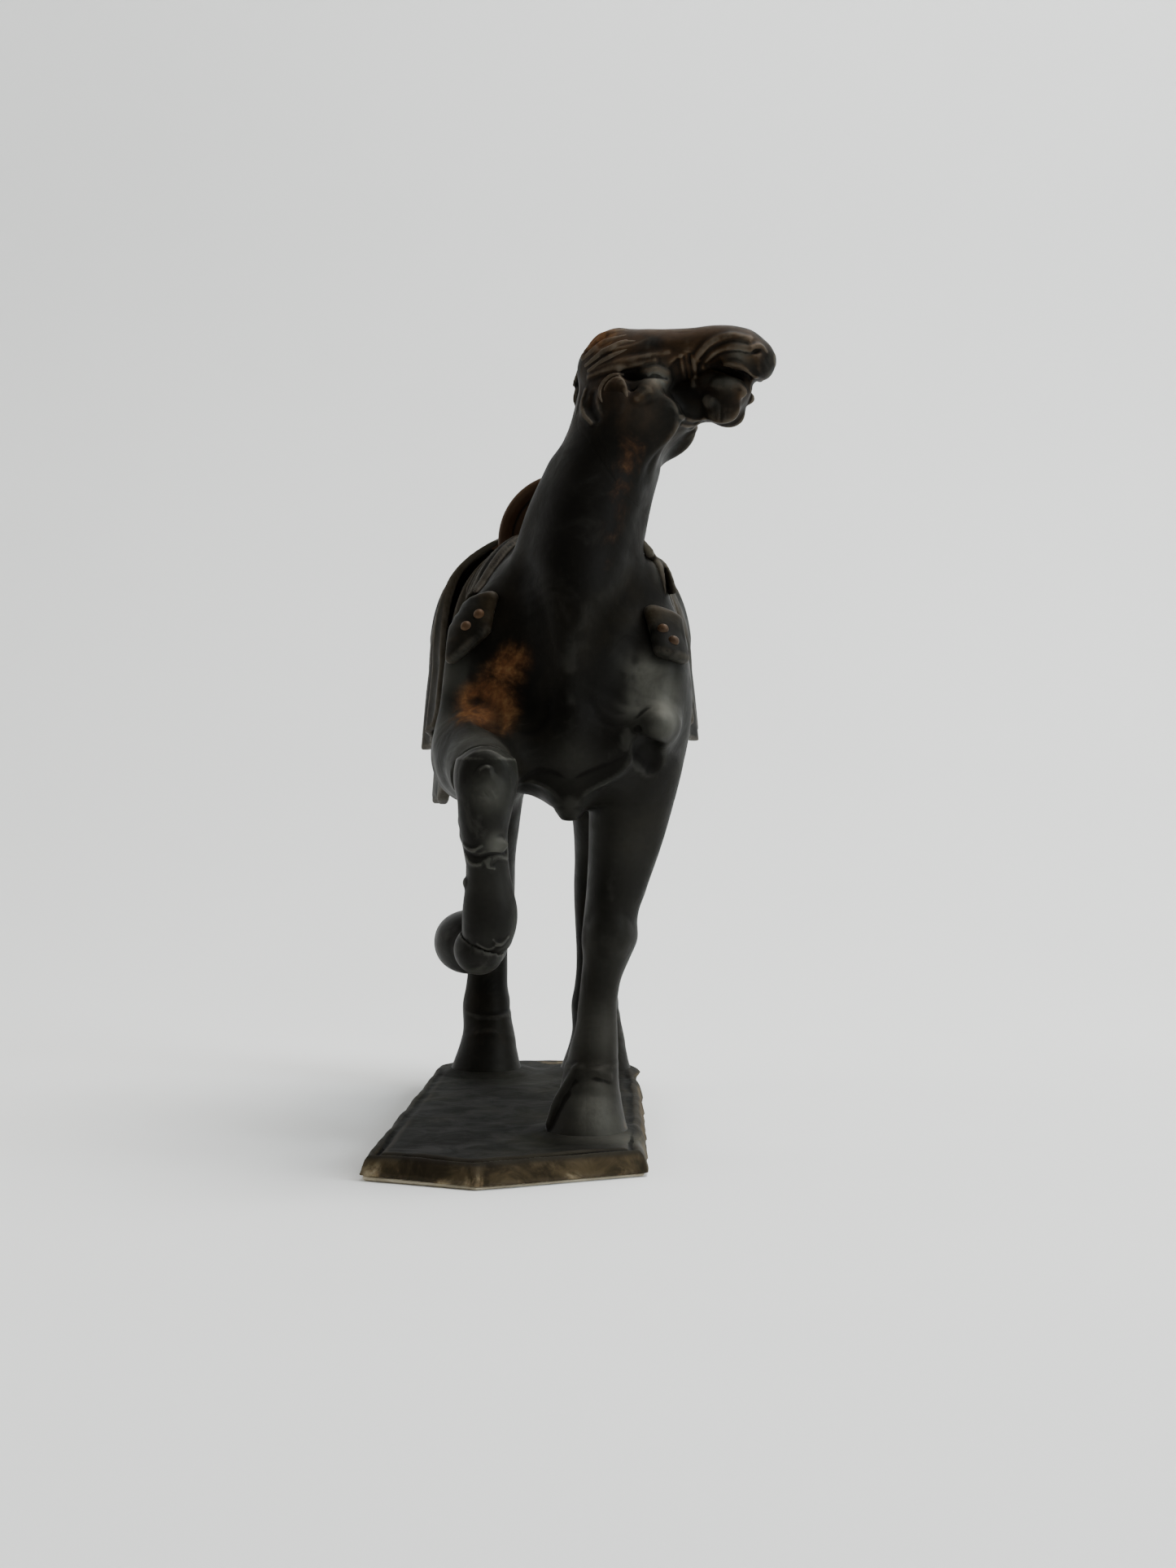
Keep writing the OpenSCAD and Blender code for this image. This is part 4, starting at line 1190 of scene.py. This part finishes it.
BLACK_BROWN = (0.0042, 0.0038, 0.0028)
FACE_BROWN = (0.03, 0.0165, 0.008)
# Grey of worn ridges and of the painted highlight.
GREY_SHEEN = (0.155, 0.153, 0.13)
RUST = (0.09, 0.036, 0.013)
OCHRE = (0.17, 0.094, 0.038)
WORN = (0.30, 0.25, 0.16)
# Near black of the painted shade in hollows and creases.
HOLLOW_SHADE_BLACK = (0.003, 0.0026, 0.002)


def patina(name, brown, grey, tint, ochre=0.0, polish=0.46, shine=0.2, side=None, even=0.0):
    """Dark satin patina: brown clouds, ridges grey or ochre with wear and painted highlight, painted shade
    in hollows.
    """
    n = Nodes(name)
    clouds, patches = n.noise(26, 5, 0.6, 0.4), n.noise(85, 6, 0.62, 0.8)
    grain, fine = n.noise(620, 3, 0.6), n.noise(1900, 2, 0.5)
    ridge, mass, warm = (n.attribute(label) for label in ("ridge", "mass", "warm"))
    cover = n.times(n.ramp(clouds, 0.42, 0.68, even, 1.0), n.ramp(warm, 0, 1, brown, 0.85))
    colour = n.mix(cover, BLACK_BROWN, n.mix(warm, tint, FACE_BROWN))
    if side:
        up = n.node("ShaderNodeSeparateXYZ", {0: n.node("ShaderNodeNewGeometry")["Normal"]})["Z"]
        flank = n.times(n.ramp(up, 0.35, 0.75, 1.0, 0.0), n.ramp(patches, 0.35, 0.65, 0.2, 1.0))
        colour = n.mix(flank, colour, side)
    # Ridges and the sheen marks turn grey: partly rubbed wear, partly a painted highlight.
    wear_and_highlight = n.plus(n.times(ridge, 0.75), n.ramp(patches, 0.35, 0.7, -0.25, 0.25))
    wear_and_highlight = n.times(n.ramp(wear_and_highlight, 0.05, 1.0), n.ramp(warm, 0, 1, grey, grey + 0.22))
    broken = n.ramp(n.plus(patches, n.times(grain, 0.3)), 0.35, 0.85, 0.65, 1.0)
    colour = n.mix(n.larger(wear_and_highlight, n.times(n.attribute("painted_sheen"), broken)), colour, GREY_SHEEN)
    # Ochre on ridges: partly rubbed bronze, partly a painted glint.
    edge = n.plus(ridge, n.ramp(clouds, 0.3, 0.7, -0.4, 0.5))
    glint = n.times(n.ramp(edge, 0.2, 1.0), n.ramp(warm, 0, 1, ochre, ochre + 0.12))
    colour = n.mix(glint, colour, OCHRE)
    speckle = n.ramp(n.plus(patches, n.times(grain, 0.2)), 0.4, 0.8)
    rusted = n.ramp(n.times(n.attribute("rust"), n.plus(speckle, 0.4)), 0.12, 1.0)
    tone = n.plus(n.times(grain, 0.6), n.times(patches, 0.9))
    colour = n.mix(rusted, colour, n.mix(n.ramp(tone, 0.68, 1.15), RUST, OCHRE))
    bare = n.ramp(n.times(n.attribute("worn"), n.plus(speckle, 0.2)), 0.25, 0.75)
    colour = n.mix(bare, colour, n.mix(n.ramp(patches, 0.35, 0.65), OCHRE, WORN))
    # Painted shade: concave hollows and creases, and the dark marks, are darkened towards black.
    hollow_shade = n.larger(n.ramp(mass, -0.7, -0.1, 0.75, 0.0), n.ramp(ridge, -0.8, -0.08, 0.8, 0.0))
    colour = n.mix(n.larger(hollow_shade, n.attribute("painted_shade")), colour, HOLLOW_SHADE_BLACK)
    rough = n.plus(n.ramp(patches, 0.3, 0.75, polish - 0.05, polish + 0.12),
                   n.times(n.plus(rusted, bare), 0.2))
    n.bump((patches, 0.35, 0.5), (n.cells(380), 0.12, 0.25), (grain, 0.3, 0.12), (fine, 0.2, 0.05))
    n.shader.inputs["Specular IOR Level"].default_value = shine
    return n.finish(colour, rough, n.ramp(n.larger(rusted, bare), 0, 1, 0.3, 0.05))


SATIN = {"brown": 0.5, "grey": 0.1, "tint": (0.012, 0.0095, 0.0056), "polish": 0.56, "shine": 0.07}
PATINAS = {
    "body_bronze": SATIN,
    "head_bronze": SATIN,
    "grey_bronze": {"brown": 0.9, "grey": 0.3, "tint": (0.017, 0.018, 0.013), "polish": 0.52,
                    "shine": 0.12},
    "saddle_bronze": {"brown": 1.0, "grey": 0.05, "tint": (0.06, 0.027, 0.01), "ochre": 0.15,
                      "even": 0.5},
    "cloth_bronze": {"brown": 0.8, "grey": 0.2, "tint": (0.022, 0.018, 0.0105), "ochre": 0.06,
                     "polish": 0.56, "shine": 0.08},
    "base_bronze": {"brown": 0.9, "grey": 0.1, "tint": (0.0105, 0.0105, 0.0065), "ochre": 0.03,
                    "polish": 0.76, "shine": 0.05, "side": (0.065, 0.048, 0.026)},
}


def felt():
    n = Nodes("base_felt")
    tufts = n.noise(1400, 4, 0.7)
    cloud = n.noise(120, 4, 0.6)
    colour = n.mix(n.ramp(cloud, 0.35, 0.7), (0.62, 0.55, 0.41), (0.48, 0.41, 0.29))
    n.bump((cloud, 0.3, 0.3), (tufts, 0.6, 0.2))
    n.shader.inputs["Sheen Weight"].default_value = 0.15
    return n.finish(colour, n.ramp(tufts, 0.3, 0.7, 0.85, 0.97), 0.0)


def steel():
    n = Nodes("hardware_steel")
    smear = n.noise(500, 4, 0.6)
    colour = n.mix(n.ramp(smear, 0.3, 0.7), (0.52, 0.51, 0.49), (0.38, 0.37, 0.35))
    n.bump((smear, 0.15, 0.1))
    return n.finish(colour, n.ramp(smear, 0.3, 0.7, 0.28, 0.45), 1.0)


def backdrop_paint():
    n = Nodes("pale_sweep")
    cloud = n.noise(3, 4, 0.5)
    tooth = n.noise(600, 3, 0.6)
    colour = n.mix(n.ramp(cloud, 0.3, 0.7), (0.86, 0.87, 0.86), (0.89, 0.90, 0.89))
    n.bump((tooth, 0.1, 0.15))
    return n.finish(colour, 0.9, 0.0)


# Marks of rust, of wear, of painted highlight and of painted shade: centre, reach in mm and strength.
STAINS = {
    "rust": [
        ((0, -74, 149), 6.5, 0.9), ((-7, -72, 141), 5, 0.6), ((-8, -78, 131), 8, 1.0),
        ((-9, -72, 137), 6.5, 0.9), ((-1, -80, 137), 5, 0.6), ((2, -80, 152), 4, 0.5),
        ((-11, -66, 163), 4, 0.5), ((36.6, -78, 214), 6, 0.36), ((35.6, -80, 206), 6, 0.36),
        ((33.6, -82, 197), 6, 0.36), ((32.6, -85, 188), 6, 0.38), ((31, -87, 178), 6, 0.36),
        ((26, -64, 248), 6.5, 0.75), ((31.2, -70, 232), 3.4, 0.9), ((53, -78, 239), 4, 0.8),
        ((61, -80, 228.6), 4.5, 0.7), ((54, -78, 221), 3.5, 0.6), ((24, -72, 66), 6, 0.3),
        ((-30, -30, 120), 9, 0.6), ((-14, -86, 66), 6, 0.3), ((-14, 74, 20), 10, 0.3),
        ((-2, -38, 196), 9, 0.35),
    ],
    "worn": [
        ((-38, -99, 1), 5, 0.7), ((-29, -103, 0), 5, 0.75), ((-18, -108, 0), 4.6, 0.75),
        ((-8, -112.6, 0), 5, 0.8), ((5, -108, 0), 4.8, 0.65), ((19, -101.6, 0), 4.6, 0.6),
        ((32, -95, 0.4), 4.4, 0.7), ((40, -91, 4), 4, 0.45), ((12, 108, 9), 20, 0.6),
        ((22, -72, 29), 3, 0.8), ((34, -64, 10.5), 3.5, 0.5), ((-12, -90, 60.5), 4, 0.4),
        ((37, 60, 9), 7, 0.4), ((43.4, -72, 234), 2.4, 0.4),
    ],
    # Painted highlight on the shoulder planes and knob, knee, standing leg, cheekbone, lips and base.
    "painted_sheen": [
        ((40, -76, 146), 5.5, 0.6), ((44, -78, 138), 7, 0.5), ((36, -80, 137), 4, 0.3),
        ((44.5, -82, 131.5), 4, 0.7), ((-17, -68, 145), 6, 0.3), ((-16, -74, 130), 6, 0.25),
        ((-8, -98, 122), 8, 0.25), ((-5, -111, 111), 4.5, 0.3), ((-2.4, -110, 96.4), 3, 0.45),
        ((-5, -110, 84), 9, 0.08), ((24, -74, 18), 9, 0.4), ((25, -62, 40), 9, 0.2),
        ((30, -62, 64), 12, 0.09), ((34, -66, 96), 14, 0.08), ((18, -86, 120), 8, 0.1),
        ((43, -72, 233.4), 3.6, 0.9), ((42, -74, 224), 7, 0.06), ((68, -78, 241), 3, 0.5),
        ((65, -78, 234), 3.4, 0.6), ((75, -78, 244), 2, 0.4), ((38, -76, 9), 11, 0.35),
        ((8, 70, 11), 22, 0.12),
    ],
    # Painted shade under the knob, round the mouth and eye, on the chest, neck front, hoofs and bosses.
    "painted_shade": [
        ((41, -80, 122.6), 4.6, 1.0), ((15, -73, 17), 4.6, 0.9), ((18.6, -70, 24), 3.4, 0.8),
        ((51.4, -74, 231), 5.4, 0.8), ((48.2, -72, 228), 3.6, 0.7), ((50.4, -72, 223.6), 3, 0.6),
        ((37.2, -72, 235), 3.4, 0.7), ((2, -73, 130), 7, 0.4), ((-12, -78.6, 62), 7, 0.5),
        ((47, -71, 157.6), 5, 0.5), ((-11.6, -66, 161), 4, 0.35), ((12, -80, 160), 14, 0.5),
        ((18, -82, 190), 12, 0.4),
    ],
}


WARM_FROM, WARM_OVER = 204, 26  # the height where the head's warmer brown begins and how it grows


def stain(thing):
    """Marks a piece's points with the head's warmer brown, broken patina, painted highlight and painted
    shade.
    """
    mesh = thing.data
    points = np.empty(len(mesh.vertices) * 3, np.float32)
    mesh.vertices.foreach_get("co", points)
    points = points.reshape(-1, 3) / MM
    warm = np.clip((points[:, 2] - WARM_FROM) / WARM_OVER, 0, 1)
    point_values(mesh, "warm", warm ** 2 * (3 - 2 * warm))
    for label, marks in STAINS.items():
        total = np.zeros(len(points), np.float32)
        for centre, reach, strength in marks:
            total += strength * np.exp(-((points - centre) ** 2).sum(1) / reach ** 2)
        point_values(mesh, label, np.clip(total, 0, 1))


# ---------- putting the statuette together ----------

def build():
    looks = {name: patina(name, **look) for name, look in PATINAS.items()}
    looks["base_felt"] = felt()
    made = []

    def make(clay, node, slot, name=None):
        made.append(piece(clay, name or node + "_cast", looks[slot], slot, node))

    body = body_clay()
    for node, region, *corners in (
            ("torso", torso_region),
            ("neck", neck_region, (-12, -95, 108), (60, -30, 246)),
            ("foreleg_left", foreleg_region, (18, -90, 0), (62, -16, 112)),
            ("hindleg_left", hindleg_region(1), (6, 26, 0), (62, 116, 112)),
            ("hindleg_right", hindleg_region(-1), (-37, 26, 0), (14, 116, 112))):
        make(cut_out(body, region, *corners), node, "body_bronze")
    forearm = body.part((-34, -117, 96), (6, -56, 146))
    forearm.add(knee_mass(), 2)
    forearm = cut_out(forearm, forearm_region)
    forearm.keep(lambda x, y, z: -knee_side(x, y, z) + MEETING_GAP)
    close_block(forearm)
    make(forearm, "foreleg_right_forearm", "body_bronze")
    make(cannon_clay(), "foreleg_right_cannon", "grey_bronze")
    make(raised_hoof_clay(), "foreleg_right_hoof", "grey_bronze")

    head = cut_out(head_clay(), head_region)
    make(head, "head", "head_bronze")
    make(ear_clay(head, 1), "ear_right", "head_bronze")
    make(ear_clay(head, -1), "ear_left", "head_bronze")
    make(forelock_clay(head), "forelock", "head_bronze")
    make(mane_clay(body), "mane", "body_bronze")
    make(tail_clay(), "tail", "body_bronze")

    make(blanket_clay(), "saddle_blanket", "cloth_bronze")
    make(cloth_clay(), "saddle_cloth", "cloth_bronze")
    make(seat_clay(), "saddle_seat", "saddle_bronze")
    make(board_clay(POMMEL_Y, POMMEL_Y + 3, 21, 211.6), "saddle_pommel", "saddle_bronze")
    make(board_clay(CANTLE_Y - 3, CANTLE_Y, 20, 211.5), "saddle_cantle", "saddle_bronze")
    make(apron_clay(body), "withers_cloth", "cloth_bronze")
    for side, label in ((1, "left"), (-1, "right")):
        flap = flap_clay(body, side)
        make(flap, "shoulder_flap_" + label, "cloth_bronze")
        make(boss_clay(flap, side), "shoulder_bosses", "saddle_bronze", "shoulder_bosses_" + label)

    make(slab_clay(), "base_slab", "base_bronze")
    make(pad_clay(), "base_pad", "base_felt")
    for thing in made:
        stain(thing)

    metal = steel()
    for node in ("base_screws", "base_washers", "neck_pins", "leg_dowels", "raised_leg_dowels",
                 "saddle_pins"):
        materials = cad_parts[node].data.materials
        for n in range(len(materials)):
            materials[n] = metal


def sweep():
    """A seamless pale sheet: the floor curves up into the backdrop behind the statuette."""
    front, back, width, bend, height = -2.6, 0.75, 3.4, 0.5, 2.8
    profile = [(front, 0.0), (back - bend, 0.0)]
    profile += [(back - bend + bend * math.sin(t), bend - bend * math.cos(t))
                for t in np.linspace(0, math.pi / 2, 24)[1:]]
    profile.append((back, height))
    points = [(x, y, z) for y, z in profile for x in (-width, width)]
    faces = [(2 * i, 2 * i + 1, 2 * i + 3, 2 * i + 2) for i in range(len(profile) - 1)]
    mesh = bpy.data.meshes.new("pale_sweep")
    mesh.from_pydata(points, [], faces)
    mesh.shade_smooth()
    mesh.materials.append(backdrop_paint())
    floor = add_object("pale_sweep", mesh)


def area_light(name, place, target, size, power, colour):
    data = bpy.data.lights.new(name, "AREA")
    data.shape = "RECTANGLE"
    data.size, data.size_y = size
    data.energy = power
    data.color = colour
    lamp = add_object(name, data)
    lamp.location = place
    aim = Vector(target) - Vector(place)
    lamp.rotation_euler = aim.to_track_quat("-Z", "Y").to_euler()


def lights():
    area_light("top_light", (0.6, -0.05, 1.55), (0, 0.1, 0), (1.1, 1.1), 39, (1.0, 0.99, 0.965))
    area_light("right_window", (1.3, -0.7, 0.75), (0, 0, 0.14), (0.5, 0.6), 13, (0.86, 0.94, 1.0))
    area_light("left_window", (-1.4, 0.1, 0.8), (0, 0, 0.15), (0.8, 1.0), 6, (1.0, 0.98, 0.95))
    world = bpy.data.worlds.new("studio")
    world.use_nodes = True
    backing = world.node_tree.nodes["Background"]
    backing.inputs["Color"].default_value = (0.93, 0.95, 0.96, 1)
    backing.inputs["Strength"].default_value = 0.12
    bpy.context.scene.world = world


def camera():
    data = bpy.data.cameras.new("camera")
    data.lens = 48.57
    data.sensor_width = 36
    data.clip_start = 0.01
    thing = add_object("camera", data)
    thing.location = EYE_POINT * MM
    thing.rotation_euler = (math.radians(90), 0, 0)
    bpy.context.scene.camera = thing


build()
sweep()
lights()
camera()
